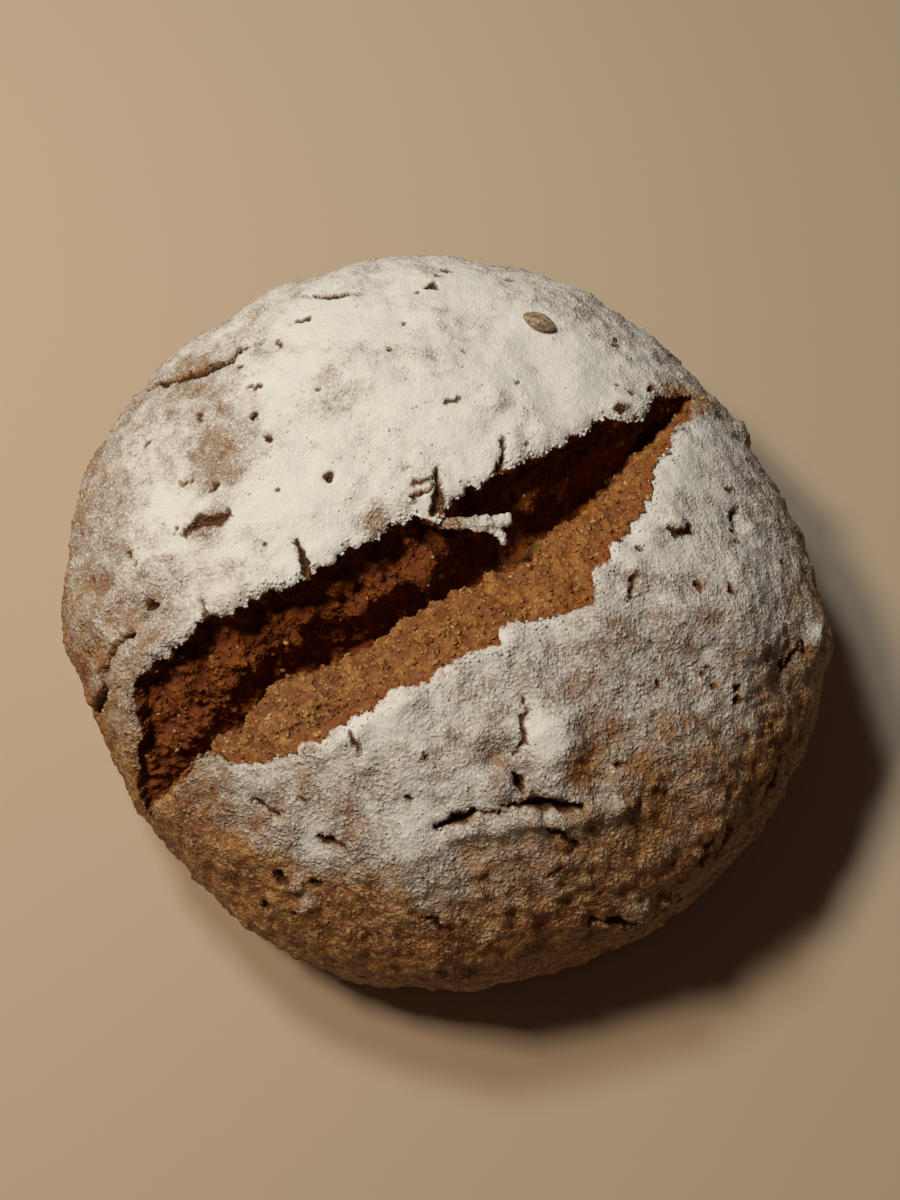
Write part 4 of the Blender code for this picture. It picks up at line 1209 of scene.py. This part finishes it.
def scatter_lumps(name, seats, normals, kind, material, draw):
    """Many small uneven lumps lying on a surface, in one mesh. Also each vertex's seat."""
    count, radii, flat = kind
    ball, ball_faces = lump_template()
    picks = [draw.randrange(len(seats)) for _ in range(count)]
    points = []
    for number, pick in enumerate(picks):
        radius = radii[0] + (radii[1] - radii[0]) * draw.random() ** 2.0
        up = normals[pick]
        side = np.cross(up, (draw.random() - 0.5, draw.random() - 0.5, draw.random() - 0.5))
        side /= np.linalg.norm(side)
        frame_of_lump = np.stack((
            radius * draw.uniform(0.8, 1.3) * side,
            radius * draw.uniform(0.6, 1.0) * np.cross(up, side),
            radius * flat * draw.uniform(0.7, 1.2) * up))
        uneven = 1 + LUMP_UNEVENNESS * soft_noise(ball + 3 * number, 0.9)
        points.append((ball * uneven[:, None]) @ frame_of_lump + seats[pick])
    faces = [ball_faces + number * len(ball) for number in range(count)]
    made = build_mesh(name, np.concatenate(points), np.concatenate(faces), [material])
    return made, np.repeat(picks, len(ball))


# ---------------------------------------------------------------- stage

def make_camera():
    """The camera, looking down on the loaf from in front."""
    data = bpy.data.cameras.new("camera")
    data.lens = CAMERA_LENS
    data.sensor_width = CAMERA_SENSOR
    camera = add_object("camera", data)
    tilt = math.radians(CAMERA_ELEVATION)
    back = Vector((0.0, -math.cos(tilt), math.sin(tilt)))
    camera.location = (Vector(CAMERA_TARGET) + CAMERA_DISTANCE * back) * MM
    camera.rotation_euler = (math.pi / 2 - tilt, 0.0, 0.0)
    bpy.context.scene.camera = camera


def add_softbox(name, direction, distance, side, power, colour):
    """A square soft light that looks at the loaf's middle from a direction."""
    data = bpy.data.lights.new(name, "AREA")
    data.shape = "SQUARE"
    data.size = side
    data.energy = power
    data.color = colour
    light = add_object(name, data)
    aim = Vector(LAMP_AIM)
    light.location = aim + distance * Vector(direction).normalized()
    light.rotation_euler = (aim - light.location).to_track_quat("-Z", "Y").to_euler()


def make_stage():
    """A pale floor, a cool and a warm soft light, and a dim warm surround."""
    material, _, shader = new_material("pale_floor")
    shader.inputs["Base Color"].default_value = (*FLOOR_COLOUR, 1.0)
    shader.inputs["Roughness"].default_value = FLOOR_ROUGHNESS
    floor_mesh = bpy.data.meshes.new("floor")
    square = ((-1, -1), (1, -1), (1, 1), (-1, 1))
    corners = [(FLOOR_REACH * x, FLOOR_REACH * y, 0) for x, y in square]
    floor_mesh.from_pydata(corners, [], [(0, 1, 2, 3)])
    floor_mesh.materials.append(material)
    floor = add_object("floor", floor_mesh)
    for lamp in LAMPS:
        add_softbox(*lamp)
    world = bpy.data.worlds.new("dim_room")
    world.use_nodes = True
    surround = world.node_tree.nodes["Background"].inputs
    surround["Color"].default_value = (*ROOM_COLOUR, 1.0)
    surround["Strength"].default_value = ROOM_LIGHT
    bpy.context.scene.world = world
    bpy.context.scene.view_settings.view_transform = "Standard"


# ---------------------------------------------------------------- all of it

def scatter_on_loaf(loaf, surface, crust, crumb):
    """Flour clumps on the crust, crumbs along the lips, and crumbs and bran in the burst."""
    draw = random.Random(SEED + 1)
    cover = surface.cover

    def strewn(name, seats, kind, material):
        """Lumps on some of the loaf's points. Also the point that each vertex sits on."""
        made, picks = scatter_lumps(
            name, surface.points[seats], surface.normals[seats], kind, material, draw)
        return made, seats[picks]

    floury = np.flatnonzero((cover > CLUMP_COVER[0]) & (cover < CLUMP_COVER[1]))
    clumps, seats = strewn("flour_clumps", floury, FLOUR_CLUMPS, crust)
    set_attribute(clumps.data, "cover", cover[seats])
    near_lip = np.flatnonzero(surface.to_lip < LIP_CRUMB_REACH)
    lip_crumbs, seats = strewn("lip_crumbs", near_lip, LIP_CRUMBS, crust)
    set_attribute(lip_crumbs.data, "cover", cover[seats])
    bits, seats = strewn("crumb_bits", surface.walls, CRUMB_BITS, crumb)
    for name in ("hollow", "from_low_lip", "far", "warmth", "crest"):
        values = np.zeros(len(loaf.data.vertices), dtype=np.float32)
        loaf.data.attributes[name].data.foreach_get("value", values)
        set_attribute(bits.data, name, values[seats])
    flecks, _ = strewn("bran_flecks", surface.walls, BRAN_FLECKS, fleck_material())
    return clumps, lip_crumbs, bits, flecks


def shift_to_solid(points):
    """The move that brings points in millimetres to the solid loaf's middle and base."""
    cad_low, cad_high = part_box("loaf")
    low = Vector(points.min(axis=0)) * MM
    high = Vector(points.max(axis=0)) * MM
    shift = (cad_low + cad_high - low - high) / 2
    shift.z = cad_low.z - low.z
    return Matrix.Translation(shift)


def main():
    """Make every piece, seat it on the solid loaf's place, and tell the frame what it is."""
    make_camera()
    make_stage()
    round_grains = grains_group()
    crust = crust_material(flour_group(round_grains))
    crumb = crumb_material(round_grains)
    loaf, surface = make_loaf([crust, crumb])
    strewn = scatter_on_loaf(loaf, surface, crust, crumb)
    tongue = make_tongue(crust)
    grain = make_grain(grain_material())
    shift = shift_to_solid(surface.points)
    for piece in (loaf, tongue, grain, *strewn):
        piece.data.transform(shift)
        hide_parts("loaf")
        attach(piece, "root")


main()
